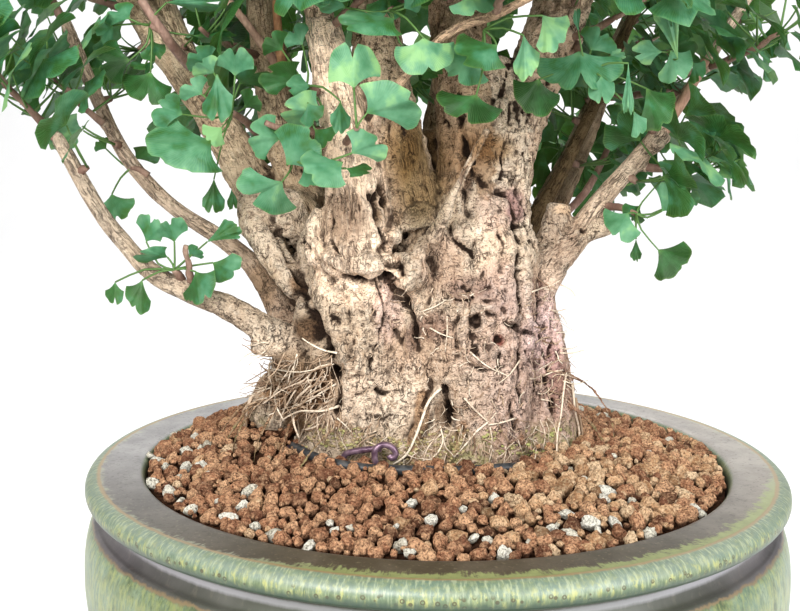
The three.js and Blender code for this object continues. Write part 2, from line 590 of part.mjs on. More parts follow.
// ---------------------------------------------------------------- leafy shoots
// One leaf, with its stalk, as a thin arched blade in its outline. The stalk starts at root and
// runs along way; the blade hangs along lie from the stalk's end, and its upper side looks along face.
function leafSolid({ root, way, face, lie, size, notched, seed }) {
  const across = lie.clone().cross(face).normalize();
  const stalkAcross = across.clone().addScaledVector(way, -across.dot(way)).normalize();
  const stalkFace = stalkAcross.clone().cross(way).normalize();
  const joint = root.clone().addScaledVector(way, STALK_LENGTH * size);
  const half = (LEAF_WIDTH / 2) * size;
  const height = LEAF_HEIGHT * size;
  const outline = notched
    ? [[-1, 0.42], [-0.48, 0.96], [0, 0.66], [0.48, 0.96], [1, 0.42]]
    : [[-1, 0.42], [-0.62, 0.86], [0, 1], [0.62, 0.86], [1, 0.42]];
  const places = [
    root.clone().addScaledVector(stalkAcross, -STALK_WIDTH / 2),
    root.clone().addScaledVector(stalkAcross, STALK_WIDTH / 2),
    joint.clone().addScaledVector(across, STALK_WIDTH / 2),
    joint.clone().addScaledVector(across, -STALK_WIDTH / 2),
  ];
  const ups = [stalkFace, stalkFace, face, face];
  outline.forEach(([u, v], k) => {
    const cup = LEAF_CUP * half * Math.abs(u) + LEAF_WAVE * wobble(seed, k, 7);
    places.push(joint.clone()
      .addScaledVector(across, half * u)
      .addScaledVector(lie, height * v)
      .addScaledVector(face, cup));
    ups.push(face);
  });
  const count = outline.length;
  const middle = 4 + Math.floor(count / 2);
  const faces = [[0, 1, 2], [0, 2, 3]];
  for (let k = 4; k < middle; k++) faces.push([3, k + 1, k]);
  faces.push([3, 2, middle]);
  for (let k = middle; k < 4 + count - 1; k++) faces.push([2, k + 1, k]);
  const rim = [0, 1, 2, ...Array.from({ length: count }, (_, k) => 4 + count - 1 - k), 3];
  const thickness = places.map((_, i) => (i < 4 ? STALK_THICKNESS : LEAF_THICKNESS) / 2);
  const positions = [];
  for (const side of [1, -1]) {
    places.forEach((p, i) => {
      const corner = p.clone().addScaledVector(ups[i], side * thickness[i]);
      positions.push(corner.x, corner.y, corner.z);
    });
  }
  const total = places.length;
  const index = [];
  faces.forEach(([a, b, c]) => index.push(a, b, c, total + a, total + c, total + b));
  rim.forEach((a, i) => {
    const b = rim[(i + 1) % rim.length];
    index.push(b, a, total + a, b, total + a, total + b);
  });
  const geometry = new THREE.BufferGeometry();
  geometry.setAttribute('position', new THREE.Float32BufferAttribute(positions, 3));
  geometry.setIndex(index);
  return toSolid(geometry);
}

// Finished solids and shoot stems, each with its owner and box, that a leaf has to clear.
const placed = [];

function remember(owner, solid) {
  const { min, max } = solid.boundingBox();
  placed.push({ owner, solid, min, max });
}

function isClear(owner, solid) {
  const { min, max } = solid.boundingBox();
  return placed.every((other) => {
    if (other.owner === owner) return true;
    for (let k = 0; k < 3; k++) {
      if (min[k] > other.max[k] + 1 || max[k] < other.min[k] - 1) return true;
    }
    return solid.minGap(other.solid, 1) > GAP;
  });
}

function inBareFront(p) {
  return Math.abs(p.x) < BARE_FRONT.x && p.y < BARE_FRONT.y && p.z < BARE_FRONT.z;
}

// The line of a shoot's stem: it leaves its peg straight and then turns up.
function stemPoint(shoot, s) {
  const { way, foot } = shootBase(shoot);
  const length = shoot[3];
  return foot
    .addScaledVector(way, GAP + length * s)
    .addScaledVector(UP, SHOOT_LIFT * length * s * s);
}

function stemSolid(shoot) {
  const stops = [0, 0.5, 1].map((s) => [...stemPoint(shoot, s).toArray(), SHOOT_RADIUS * (1 - 0.4 * s)]);
  return tube(stops, { sides: 3 });
}

// How one leaf stands on its shoot: the way its stalk leaves, where its blade looks and how it hangs.
function leafStance(shoot, number, k, attempt) {
  const { way } = shootBase(shoot);
  const root = stemPoint(shoot, k === 0 ? TOP_LEAF : TOP_LEAF - (LEAFY_PART * k) / shoot[4]);
  const spin = 2.4 * k + 1.3 * number + 0.9 * attempt;
  const stalk = point(Math.cos(spin), Math.sin(spin), 0.3 + 0.6 * chance(number, k, attempt))
    .normalize()
    .addScaledVector(way, k === 0 ? 0.9 : 0.4)
    .normalize();
  const outward = point(root.x, root.y - TREE_MIDDLE_Y, 0).normalize();
  const face = outward.multiplyScalar(0.9)
    .addScaledVector(UP, 0.35 + 0.7 * chance(number, k, 14))
    .add(point(wobble(number, k, 15), wobble(number, k, 16), 0).multiplyScalar(0.6))
    .normalize();
  const hang = stalk.clone().addScaledVector(UP, -0.2 - 0.9 * chance(number, k, 17));
  const lie = hang.addScaledVector(face, -hang.dot(face)).normalize();
  return { root, way: stalk, face, lie };
}

function shootSolid(shoot, number, name) {
  let shootBody = stemSolid(shoot);
  for (let k = 0; k < shoot[4]; k++) {
    for (let attempt = 0; attempt < LEAF_TRIES; attempt++) {
      const stance = leafStance(shoot, number, k, attempt);
      if (stance.lie.dot(stance.way) < 0.15) continue;
      const leaf = leafSolid({
        ...stance,
        size: 0.86 + 0.24 * chance(number, k, 12),
        notched: chance(number, k, 13) > 0.35,
        seed: number * 10 + k,
      });
      const { min, max } = leaf.boundingBox();
      const centre = point((min[0] + max[0]) / 2, (min[1] + max[1]) / 2, (min[2] + max[2]) / 2);
      if (inBareFront(centre) || !isClear(name, leaf)) continue;
      if (leaf.intersect(shootBody).volume() > OWN_CROSSING) continue;
      shootBody = shootBody.add(leaf);
      break;
    }
  }
  return mainBody(shootBody);
}

// ---------------------------------------------------------------- the assembly
const bonsai = new THREE.Group();

function addPiece(name, solid, material) {
  const piece = new THREE.Mesh(toGeometry(solid), material);
  piece.name = name;
  bonsai.add(piece);
  remember(name, solid);
}

const trunk = mainBody(Manifold.union(trunkParts(0)));
const screens = drainPlaces();
const sleeveTube = wireSolid(SLEEVE_LINE, SLEEVE_RADIUS, 0, SLEEVE_SIDES);
const sleeveBore = wireSolid(SLEEVE_LINE, SLEEVE_BORE - BORE_OVERRUN, BORE_OVERRUN, SLEEVE_SIDES);

addPiece('pot', potSolid(), MATERIALS.glaze);
addPiece('trunk', trunk, MATERIALS.bark);
addPiece('crossing_wire', wireSolid(CROSSING_WIRE, WIRE_RADIUS), MATERIALS.wire);
addPiece('curl_wire', wireSolid(curlWire(), WIRE_RADIUS), MATERIALS.wire);
addPiece('wire_sleeve', sleeveTube.subtract(sleeveBore), MATERIALS.rubber);
screens.forEach((place, i) => {
  addPiece(`drain_screen_${i + 1}`, screenSolid(place), MATERIALS.screen);
});
addPiece('soil', soilSolid([
  ...trunkParts(GAP),
  wireSolid(CROSSING_WIRE, WIRE_RADIUS, GAP),
  wireSolid(curlWire(), WIRE_RADIUS, GAP),
  wireSolid(SLEEVE_LINE, SLEEVE_RADIUS, GAP, SLEEVE_SIDES),
  ...screens.map(({ x, y, z }) => {
    return block(SCREEN_SIZE + 1, SCREEN_SIZE + 1, 3 * SCREEN_THICKNESS, x, y, z);
  }),
]), MATERIALS.soil);

// Every stem is known before the first leaf is placed, so that leaves keep clear of all of them.
const shootName = (i) => `leafy_shoot_${String(i + 1).padStart(2, '0')}`;
SHOOTS.forEach((shoot, i) => remember(shootName(i), stemSolid(shoot)));
SHOOTS.forEach((shoot, i) => {
  addPiece(shootName(i), shootSolid(shoot, i + 1, shootName(i)), MATERIALS.leaf);
});

// Stand the pot on z = 0 with the bounding box centred on the origin.
const box = new THREE.Box3().setFromObject(bonsai);
bonsai.position.set(-(box.min.x + box.max.x) / 2, -(box.min.y + box.max.y) / 2, -box.min.z);

export default bonsai;
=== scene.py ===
"""The looks of a ginkgo bonsai in a round glazed drum pot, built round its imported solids.

Shapes are worked out in millimetres from the middle of the pot's rim plane, x to the right,
y away from the front and z up, and are moved to the row frame when a mesh is made.
"""
import math

import bpy
import numpy as np
from mathutils import Matrix, Vector
from mathutils.bvhtree import BVHTree
from mathutils.kdtree import KDTree


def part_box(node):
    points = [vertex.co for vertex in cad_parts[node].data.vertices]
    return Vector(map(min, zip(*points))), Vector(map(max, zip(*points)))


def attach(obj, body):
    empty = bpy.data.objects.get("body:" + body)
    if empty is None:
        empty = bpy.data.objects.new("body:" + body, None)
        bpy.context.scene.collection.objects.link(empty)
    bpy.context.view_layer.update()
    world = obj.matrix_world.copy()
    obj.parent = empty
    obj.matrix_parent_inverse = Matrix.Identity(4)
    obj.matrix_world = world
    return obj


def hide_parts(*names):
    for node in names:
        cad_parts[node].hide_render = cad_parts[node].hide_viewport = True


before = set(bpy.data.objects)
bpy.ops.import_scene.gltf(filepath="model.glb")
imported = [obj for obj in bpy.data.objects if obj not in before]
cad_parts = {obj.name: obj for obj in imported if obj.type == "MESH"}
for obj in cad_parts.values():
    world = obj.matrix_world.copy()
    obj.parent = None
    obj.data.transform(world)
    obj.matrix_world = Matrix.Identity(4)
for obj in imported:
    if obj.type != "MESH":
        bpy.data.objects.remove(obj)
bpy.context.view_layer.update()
POT_LOW, POT_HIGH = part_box("pot")
ORIGIN = np.array([(POT_LOW[0] + POT_HIGH[0]) / 2, (POT_LOW[1] + POT_HIGH[1]) / 2, POT_HIGH[2]])
MM = 0.001
FLOOR_Z = -155.0
UP = np.array([0, 0, 1.0])

# ---------------------------------------------------------------- the camera
CAMERA_AT = np.array([-25.85, -662.96, 184.48])
CAMERA_FAR = 663
FOCAL_PX, MIDDLE_X, MIDDLE_Y = 900.0, 400.0, 305.5
PITCH, ROLL = math.radians(6.644), math.radians(-0.3228)
AHEAD = np.array([0, math.cos(PITCH), -math.sin(PITCH)])
ABOVE = np.array([0, math.sin(PITCH), math.cos(PITCH)])
IMAGE_X = np.array([math.cos(ROLL), 0, 0]) - ABOVE * math.sin(ROLL)
IMAGE_Y = np.array([math.sin(ROLL), 0, 0]) + ABOVE * math.cos(ROLL)


def to_picture(points):
    """Picture places of points, x from the left and y from the top, in pixels."""
    q = np.asarray(points, float) - CAMERA_AT
    depth = q @ AHEAD
    return np.stack([MIDDLE_X + FOCAL_PX * (q @ IMAGE_X) / depth,
                     MIDDLE_Y - FOCAL_PX * (q @ IMAGE_Y) / depth], axis=-1)


def sight(px, py):
    way = AHEAD * FOCAL_PX + IMAGE_X * (px - MIDDLE_X) + IMAGE_Y * (MIDDLE_Y - py)
    return way / np.linalg.norm(way)


def from_picture(px, py, y):
    """The point seen at a picture place, at that depth y."""
    way = sight(px, py)
    return CAMERA_AT + way * (y - CAMERA_AT[1]) / way[1]


def make_camera():
    data = bpy.data.cameras.new("view")
    data.sensor_width = 36
    data.lens = FOCAL_PX / 800 * 36
    data.clip_start, data.clip_end = 0.01, 50
    camera = bpy.data.objects.new("view", data)
    bpy.context.collection.objects.link(camera)
    turn = Matrix((IMAGE_X, IMAGE_Y, -AHEAD)).transposed().to_4x4()
    camera.matrix_world = Matrix.Translation(Vector(ORIGIN + MM * CAMERA_AT)) @ turn
    bpy.context.scene.camera = camera


make_camera()


# ---------------------------------------------------------------- numbers
def chance(a, b=0.0, c=0.0):
    s = math.sin(a * 12.9898 + b * 78.233 + c * 37.719) * 43758.5453
    return s - math.floor(s)


def wobble(a, b, c):
    return 2 * chance(a, b, c) - 1


def smooth(t):
    t = np.clip(t, 0, 1)
    return t * t * (3 - 2 * t)


def unit(v):
    v = np.asarray(v, float)
    return v / np.maximum(np.linalg.norm(v, axis=-1, keepdims=True), 1e-9)


def lattice(i, seed):
    s = np.sin(i[..., 0] * 127.1 + i[..., 1] * 311.7 + i[..., 2] * 74.7 + seed * 53.3) * 43758.5453
    return s - np.floor(s)


def grain(points, size, seed=0):
    """Smooth noise from -1 to 1 whose bumps are about size mm apart. Size may be a triple."""
    q = np.asarray(points) / np.asarray(size, float) + seed * 17.31
    i = np.floor(q)
    f = q - i
    f = f * f * (3 - 2 * f)
    total = 0
    for dx in (0, 1):
        for dy in (0, 1):
            for dz in (0, 1):
                w = np.abs(1 - dx - f[:, 0]) * np.abs(1 - dy - f[:, 1]) * np.abs(1 - dz - f[:, 2])
                total = total + w * lattice(i + (dx, dy, dz), seed)
    return 2 * total - 1


# ---------------------------------------------------------------- meshes
def piece(name, points, faces, slot, replaced=(), material=None):
    """A finished piece in the row frame, from points in millimetres."""
    mesh = bpy.data.meshes.new(name)
    mesh.from_pydata((ORIGIN + MM * np.asarray(points)).tolist(), [], faces)
    mesh.update()
    mesh.shade_smooth()
    obj = bpy.data.objects.new(name, mesh)
    bpy.context.collection.objects.link(obj)
    if material:
        mesh.materials.append(material)
    if slot:
        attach(obj, "root")
    if replaced:
        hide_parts(*replaced)
    return obj


def join(parts):
    points, faces, start = [], [], 0
    for part_points, part_faces in parts:
        points.append(part_points)
        faces.extend([tuple(start + k for k in face) for face in part_faces])
        start += len(part_points)
    return np.vstack(points), faces


def smooth_line(stops, steps):
    """A curve through stops [x, y, z, radius], with that many steps from each to the next."""
    p = np.array(stops, float)
    if steps == 1:
        return p
    q = np.vstack([2 * p[0] - p[1], p, 2 * p[-1] - p[-2]])
    t = (np.arange(steps) / steps)[:, None]
    rows = []
    for a, b, c, d in zip(q, q[1:], q[2:], q[3:]):
        rows.append(0.5 * (2 * b + (c - a) * t + (2 * a - 5 * b + 4 * c - d) * t ** 2
                           + (3 * b - a - 3 * c + d) * t ** 3))
    rows.append(p[-1:])
    line = np.vstack(rows)
    line[:, 3] = np.maximum(line[:, 3], 0.15)
    return line


def ring_faces(rings, sides, start=0):
    """Quads between rings of points that follow each other."""
    faces = []
    for i in range(rings - 1):
        for j in range(sides):
            a, b = start + i * sides + j, start + i * sides + (j + 1) % sides
            faces.append((a, b, b + sides, a + sides))
    return faces


def end_faces(rings, sides):
    """The faces that close a tube at its first and last ring."""
    return [tuple(range(sides - 1, -1, -1)), tuple(range((rings - 1) * sides, rings * sides))]


def tube(stops, sides=8, steps=1, rough=0.0, seed=0):
    """A closed tapering tube through stops [x, y, z, radius]."""
    line = smooth_line(stops, steps)
    place, radius = line[:, :3], line[:, 3]
    ahead = unit(np.gradient(place, axis=0))
    side = np.array([0, 0, 1.0]) if abs(ahead[0, 2]) < 0.9 else np.array([1.0, 0, 0])
    angle = 2 * math.pi * np.arange(sides) / sides
    points = []
    for i in range(len(place)):
        side = unit(side - ahead[i] * (side @ ahead[i]))
        across = np.cross(ahead[i], side)
        r = radius[i] * np.ones(sides)
        if rough:
            r *= 1 + rough * np.array([wobble(seed, i, j) for j in range(sides)])
        points.append(place[i] + np.outer(r * np.cos(angle), side) + np.outer(r * np.sin(angle), across))
    return np.vstack(points), ring_faces(len(place), sides) + end_faces(len(place), sides)


def ball(rings, sides):
    """A unit sphere."""
    points = [(0, 0, 1)]
    for i in range(1, rings):
        lat = math.pi * i / rings
        for j in range(sides):
            lon = 2 * math.pi * (j + 0.5 * (i % 2)) / sides
            points.append((math.sin(lat) * math.cos(lon), math.sin(lat) * math.sin(lon), math.cos(lat)))
    points.append((0, 0, -1))
    faces = [(0, 1 + j, 1 + (j + 1) % sides) for j in range(sides)]
    faces += [(a, d, c, b) for a, b, c, d in ring_faces(rings - 1, sides, 1)]
    end = len(points) - 1
    faces += [(end, end - sides + (j + 1) % sides, end - sides + j) for j in range(sides)]
    return np.array(points, float), faces


def lump(x, y, z, rx, ry, rz, seed=0, rough=0.12):
    points, faces = ball(8, 12)
    swell = 1 + rough * grain(points, 0.8, seed)
    return points * swell[:, None] * (rx, ry, rz) + (x, y, z), faces


def normals_of(points, quads):
    n = np.cross(points[quads[:, 2]] - points[quads[:, 0]], points[quads[:, 3]] - points[quads[:, 1]])
    total = np.zeros_like(points)
    for k in range(4):
        for axis in range(3):
            total[:, axis] += np.bincount(quads[:, k], n[:, axis], len(points))
    return unit(total)


def relax(points, quads, rounds, weight):
    """Moves each point towards the middle of its neighbours, by its weight."""
    a = np.concatenate([quads[:, k] for k in range(4)])
    b = np.concatenate([quads[:, (k + 1) % 4] for k in range(4)])
    a, b = np.concatenate([a, b]), np.concatenate([b, a])
    count = np.maximum(np.bincount(a, minlength=len(points)), 1)[:, None]
    for _ in range(rounds):
        total = np.stack([np.bincount(a, points[b, k], len(points)) for k in range(3)], axis=-1)
        points = points + weight[:, None] * (total / count - points)
    return points


def fuse(parts, size):
    """One even skin of quads round all the closed parts."""
    points, faces = join(parts)
    rough = piece("rough", points, faces, None)
    remesh = rough.modifiers.new("skin", "REMESH")
    remesh.mode = "VOXEL"
    remesh.voxel_size = size * MM
    seen = rough.evaluated_get(bpy.context.evaluated_depsgraph_get())
    mesh = bpy.data.meshes.new_from_object(seen)
    points = np.empty(len(mesh.vertices) * 3)
    mesh.vertices.foreach_get("co", points)
    quads = np.empty(len(mesh.loops), int)
    mesh.loops.foreach_get("vertex_index", quads)
    bpy.data.objects.remove(rough)
    bpy.data.meshes.remove(mesh)
    return (points.reshape(-1, 3) - ORIGIN) / MM, quads.reshape(-1, 4)


# ---------------------------------------------------------------- the tree's skeleton
# The clump's body as rings [height, scale, middle x, middle y] of one lobed outline.
BODY_RINGS = [
    [-50, 0.5, -5, 14], [-24, 0.82, -8, 15], [4, 1, -8, 15], [32, 0.95, -6, 15],
    [62, 0.9, -4, 15], [92, 0.86, 0, 15], [122, 0.8, 2, 15], [152, 0.68, -2, 17],
    [182, 0.54, -6, 19], [212, 0.42, -8, 20], [236, 0.26, -8, 20],
]
BODY_HALF_WIDTH, BODY_HALF_DEPTH = 100, 80

# Each is a list of [x, y, z, radius].
COLUMNS = [
    [[-60, -16, -12, 36], [-63, -21, 50, 40], [-62, -25, 100, 40], [-58, -29, 130, 33], [-56, -34, 152, 24]],
    [[24, -20, -12, 44], [24, -22, 60, 47], [26, -22, 100, 45], [32, -18, 150, 39], [31, -12, 186, 32]],
    [[38, -12, 140, 32], [41, -13, 200, 25], [47, -9, 246, 23], [45, -3, 284, 15]],
    [[77, 10, -12, 35], [70, 8, 60, 32.5], [60, 6, 104, 30], [58, 0, 150, 26]],
    [[-98, 32, -12, 34], [-92, 30, 60, 34], [-84, 30, 112, 36], [-98, 32, 158, 27]],
    [[-20, 64, -12, 40], [-15, 62, 70, 41], [-5, 58, 130, 36], [4, 62, 168, 26]],
    [[55, 54, -12, 34], [57, 52, 80, 33], [60, 50, 134, 24]],
]
LIMBS = {
    "left": [
        [-98, 32, 158, 24], [-133, 38, 187, 19], [-155, 40, 223, 16], [-180, 40, 264, 14.5],
        [-208, 41, 302, 13], [-232, 42, 338, 11], [-256, 45, 374, 8], [-274, 48, 406, 5.5],
    ],
    "leftFork": [
        [-170, 42, 250, 11], [-194, 47, 296, 11], [-210, 50, 338, 9.5], [-219, 56, 378, 7.5],
        [-226, 60, 416, 5.5],
    ],
    "leftUpright": [
        [-98, 26, 180, 19], [-117, 28, 236, 15], [-128, 32, 296, 12.5], [-134, 36, 353, 10],
        [-140, 40, 410, 6.5],
    ],
    "frontStem": [
        [-56, -34, 132, 22], [-56, -46, 156, 23], [-58, -47, 190, 19], [-63, -47, 228, 16.5],
        [-71, -44, 264, 15], [-79, -40, 300, 13.5],
    ],
    "midStem": [
        [-22, -16, 168, 27], [-34, -27, 230, 24], [-42, -27, 290, 19], [-46, -22, 336, 16], [-52, -14, 386, 12],
        [-58, -4, 439, 8], [-60, 0, 477, 5.5],
    ],
    "leader": [
        [28, -14, 170, 35], [27, -10, 232, 27], [18, -2, 286, 22], [12, 8, 332, 19], [6, 18, 385, 14],
        [0, 25, 439, 9.5], [-4, 30, 484, 6],
    ],
    "rightStem": [
        [44, -2, 140, 25], [45, -8, 190, 21], [56, -6, 240, 21], [76, 0, 286, 22], [92, 8, 332, 20.5],
        [104, 14, 377, 15], [118, 20, 424, 9.5], [128, 24, 461, 6],
    ],
    "rightBranch": [
        [62, -2, 116, 22], [85, 0, 144, 17], [105, 2, 161, 10.5], [125, 4, 189.5, 7.5], [143, 5, 210, 7],
        [158, 5, 229, 6.5], [163, 6, 236, 5], [178, 8, 259, 4.2], [198, 10, 287, 4.2], [224, 12, 330, 4.2],
        [250, 14, 367, 4],
    ],
    "rightRear": [
        [60, 50, 124, 18], [76, 58, 162, 9], [100, 60, 204, 6], [126, 62, 259, 5.2], [152, 70, 320, 4.8],
        [182, 82, 374, 4.4], [202, 92, 414, 4],
    ],
    "leftThinUpper": [
        [-90, 2, 66, 14], [-111, 0, 94, 11], [-119, 0, 110, 9], [-134, 0, 136, 8], [-156, 0, 155, 6.5],
        [-195, 0, 181, 5.8], [-226, 0, 216, 5.5], [-246, 0, 258, 5.2], [-264, -2, 306, 4.5],
    ],
    "leftThinLower": [
        [-84, -26, 60, 15], [-104, -38, 84, 12], [-126, -40, 98, 10], [-148, -40, 111, 9],
        [-174, -40, 121, 7.4], [-198, -40, 134, 6.8], [-216, -40, 153.5, 6], [-233, -42, 177, 5.6],
        [-256, -46, 222, 5],
    ],
    "backLeft": [
        [-56, 62, 110, 24], [-84, 98, 180, 16], [-112, 136, 250, 12], [-140, 166, 330, 8.5],
        [-160, 185, 383, 5.5],
    ],
    "backMiddle": [
        [0, 66, 140, 27], [5, 102, 206, 18], [12, 134, 284, 13.5], [20, 154, 355, 9.5], [24, 169, 414, 6],
    ],
    "backRight": [
        [60, 58, 108, 22], [94, 90, 170, 15], [130, 122, 240, 11], [160, 151, 310, 8], [184, 172, 361, 5.5],
    ],
    "frontLeft": [
        [-78, -38, 288, 11], [-86, -56, 345, 8.5], [-100, -104, 394, 5.5],
    ],
    "frontMiddle": [
        [14, 2, 316, 12], [24, -36, 368, 9.5], [34, -92, 410, 7], [36, -122, 440, 5],
    ],
    "frontRight": [
        [92, 2, 322, 12], [106, -46, 370, 8.5], [128, -94, 408, 5.5],
    ],
    "frontTwig": [
        [-44, -34, 224, 6], [-37, -64, 247, 3.8], [1, -78, 288, 3.4], [32, -82, 300, 3.2], [60, -86, 314, 3],
    ],
}
# Swellings: [x, y, z, rx, ry, rz].
BURLS = [
    [-58, -44, 140, 25, 19, 20], [-108, 2, 172, 25, 20, 21], [-82, -20, 148, 18, 17, 24],
    [-20, -50, 136, 16, 14, 14], [50, -22, 206, 15, 14, 24], [14, -42, 152, 20, 13, 20],
    [28, -53, 98, 26, 14, 22], [74, 0, 80, 18, 18, 34], [158, 3, 227, 8, 8, 9],
    [-120, 14, 28, 22, 22, 26], [30, 84, 84, 22, 16, 26],
]
# The hanging finger, the cut stubs and the dead twig.
SNAGS = [
    [[-134, 6, 186, 12], [-129, -14, 164, 12], [-114.5, -24, 144, 11], [-104, -27, 127, 9],
      [-99.5, -28, 116, 5.5]],
    [[84, 0, 140, 17], [88, 2, 162, 12.5], [91, 3, 183, 8.5]],
    [[112, 2, 162, 7.5], [126, -4, 166, 5.5], [135, -7, 169, 3.5]],
    [[-98, -34, 80, 9], [-122, -46, 84, 7.5], [-128, -49, 85, 6]],
    [[-4, -50, 160, 6.5], [2, -62, 172, 4.8], [5, -69, 180, 4.4], [8, -71, 187, 3.1], [18, -73, 208, 3.0],
      [30, -74, 231, 2.8]],
]
# Surface roots that the solids have too, each a list of [x, y, z, radius].
ROOTS = [
    [[-94, -28, 62, 2.4], [-112, -44, 40, 2], [-124, -50, 18, 1.6], [-128, -52, 0, 1.4]],
    [[-98, -14, 56, 2.2], [-126, -26, 40, 1.8], [-142, -32, 18, 1.5], [-146, -33, 1, 1.3]],
    [[-102, 2, 52, 2.4], [-134, -6, 34, 1.9], [-150, -12, 14, 1.6], [-156, -14, 0, 1.3]],
    [[-88, -38, 44, 2], [-102, -58, 28, 1.7], [-106, -66, 10, 1.5], [-107, -68, -2, 1.3]],
    [[-108, 20, 44, 2.6], [-142, 16, 30, 2], [-158, 12, 14, 1.6], [-166, 10, 0, 1.3]],
    [[-62, -52, 36, 2.2], [-78, -70, 24, 1.8], [-90, -82, 10, 1.5], [-94, -86, -3, 1.3]],
    [[20, -60, 40, 3], [14, -68, 22, 2.4], [8, -70, 8, 2], [6, -71, -4, 1.6]],
    [[-10, -56, 52, 3.8], [-12, -64, 34, 3.2], [-16, -69, 18, 2.4], [-18, -70.5, -3, 1.8]],
    [[56, -46, 22, 2.6], [66, -57, 14, 2], [76, -62, 5, 1.6], [79, -63, -4, 1.4]],
    [[94, -8, 40, 2.4], [114, -18, 24, 1.8], [124, -24, 8, 1.5], [127, -26, -4, 1.3]],
    [[98, 12, 56, 2], [120, 8, 44, 1.6], [134, 4, 22, 1.4], [138, 3, 0, 1.2]],
    [[-30, 94, 36, 3], [-44, 116, 18, 2.2], [-50, 126, -4, 1.6]],
    [[66, 82, 30, 3], [84, 100, 14, 2.2], [90, 106, -4, 1.6]],
]
# The leafy shoots of each limb: [how far along it, direction, length, leaves].
SHOOTS = [[limb, *row] for limb, rows in {
    "left": [
        [0.66, [-0.7, -0.7, 0.1], 66, 4], [0.86, [-0.8, 0.6, 0.2], 66, 4], [1, [-0.5, -0.1, 0.8], 66, 5],
    ],
    "leftFork": [
        [0.62, [0.4, -0.9, 0.3], 56, 4], [1, [-0.1, 0.1, 1], 74, 5],
    ],
    "leftUpright": [
        [0.48, [-0.5, -0.9, 0], 58, 4], [0.76, [0.5, -0.8, 0.3], 58, 4], [1, [0, -0.2, 1], 78, 5],
    ],
    "frontStem": [
        [0.62, [-0.7, -0.7, -0.1], 46, 4], [0.98, [0.6, -0.7, 0.3], 46, 4],
    ],
    "midStem": [
        [0.66, [0.3, -0.9, 0.2], 56, 4], [0.84, [-0.8, 0.3, 0.3], 66, 4], [1, [-0.2, -0.1, 1], 72, 5],
    ],
    "leader": [
        [0.72, [0.2, 0.9, 0.3], 66, 4], [0.86, [0.5, -0.8, 0.4], 60, 4], [1, [0.1, 0.1, 1], 74, 5],
    ],
    "rightStem": [
        [0.46, [0.6, -0.8, 0.1], 60, 4], [0.74, [0.9, 0.2, 0.3], 66, 4], [0.88, [-0.1, -0.9, 0.4], 62, 4],
        [1, [0.3, 0.1, 1], 74, 5],
    ],
    "rightBranch": [
        [0.41, [0.9, -0.4, -0.2], 44, 4], [0.78, [0.5, -0.8, 0.1], 56, 4], [1, [0.6, 0, 0.8], 70, 5],
    ],
    "rightRear": [
        [0.52, [0.9, -0.2, 0], 66, 4], [0.78, [0.8, 0.5, 0.2], 66, 4], [1, [0.5, 0.2, 0.9], 70, 5],
    ],
    "leftThinUpper": [
        [0.8, [-0.5, -0.6, 0.5], 50, 4], [1, [-0.5, -0.1, 0.85], 66, 5],
    ],
    "leftThinLower": [
        [0.48, [0, -0.5, 0.85], 24, 4], [1, [-0.7, -0.1, 0.7], 60, 5],
    ],
    "backLeft": [
        [0.46, [-0.9, 0.3, 0.1], 66, 4], [0.74, [0.3, 0.9, 0.2], 66, 4], [1, [-0.3, 0.4, 0.9], 70, 5],
    ],
    "backMiddle": [
        [0.5, [0.1, 1, 0], 66, 4], [0.76, [-0.6, 0.7, 0.3], 66, 4], [1, [0.1, 0.4, 0.9], 70, 5],
    ],
    "backRight": [
        [0.5, [0.6, 0.7, 0], 62, 4], [0.78, [0.9, 0, 0.3], 62, 4], [1, [0.5, 0.5, 0.7], 66, 5],
    ],
    "frontTwig": [
        [0.75, [0.1, -0.9, 0.3], 22, 3], [1, [0.5, -0.5, 0.6], 44, 4],
    ],
    "frontLeft": [
        [0.62, [-0.9, -0.2, 0.2], 60, 4], [1, [-0.2, -0.6, 0.8], 66, 5],
    ],
    "frontMiddle": [
        [0.6, [0.8, -0.5, 0.1], 54, 4], [1, [0, -0.5, 0.9], 66, 5],
    ],
    "frontRight": [
        [0.6, [0.9, -0.2, 0.1], 60, 4], [1, [0.3, -0.6, 0.8], 66, 5],
    ],
}.items() for row in rows]
WIRE_RISE = [
    [-100, -14, -147.4], [-118, -24, -147.6], [-127, -29.4, -145], [-128, -30, -132],
    [-127, -30, -80], [-121, -28, -30], [-113, -26, -4], [-108, -26, 4],
]
SLEEVE_LINE = [
    [-103, -27, 7.5], [-96, -42, 9], [-86, -58, 9], [-71, -73, 8.8], [-53, -79, 7.4],
    [-32, -80.5, 6.4], [-12, -80, 6], [15, -80, 6], [40, -76, 6.4], [54, -72, 6.2],
]
WIRE_DROP = [
    [63, -72, 0], [72, -78, -24], [85, -88, -80], [92, -92, -132],
    [91, -91.6, -145], [82, -86, -147.6], [70, -77, -147.4],
]
CURL_RISE = [
    [-52, -92, -147.4], [-64, -87, -147.6], [-73, -84.4, -145], [-74, -84, -132], [-73, -80, -80],
    [-70, -69, -30], [-68, -62, -4], [-64, -60, 9], [-57, -61.5, 15.5], [-46, -65.5, 18.5],
]


def along(stops, t):
    """The place, radius and way forward at part t of a limb."""
    f = t * (len(stops) - 1)
    i = min(int(f), len(stops) - 2)
    a, b = np.array(stops[i], float), np.array(stops[i + 1], float)
    mix = a + (b - a) * (f - i)
    return mix[:3], mix[3], unit(b[:3] - a[:3])


END_REACH, PEG_REACH, PEG_RADIUS, SHOOT_LIFT = 6, 3.5, 4.2, 0.16


def shoot_base(shoot):
    limb, t, direction = shoot[:3]
    place, radius, ahead = along(LIMBS[limb], t)
    way = unit(direction)
    slant = max(0.45, np.linalg.norm(np.cross(way, ahead)))
    reach = END_REACH if t == 1 else radius / slant + PEG_REACH
    return place, way, place + way * reach


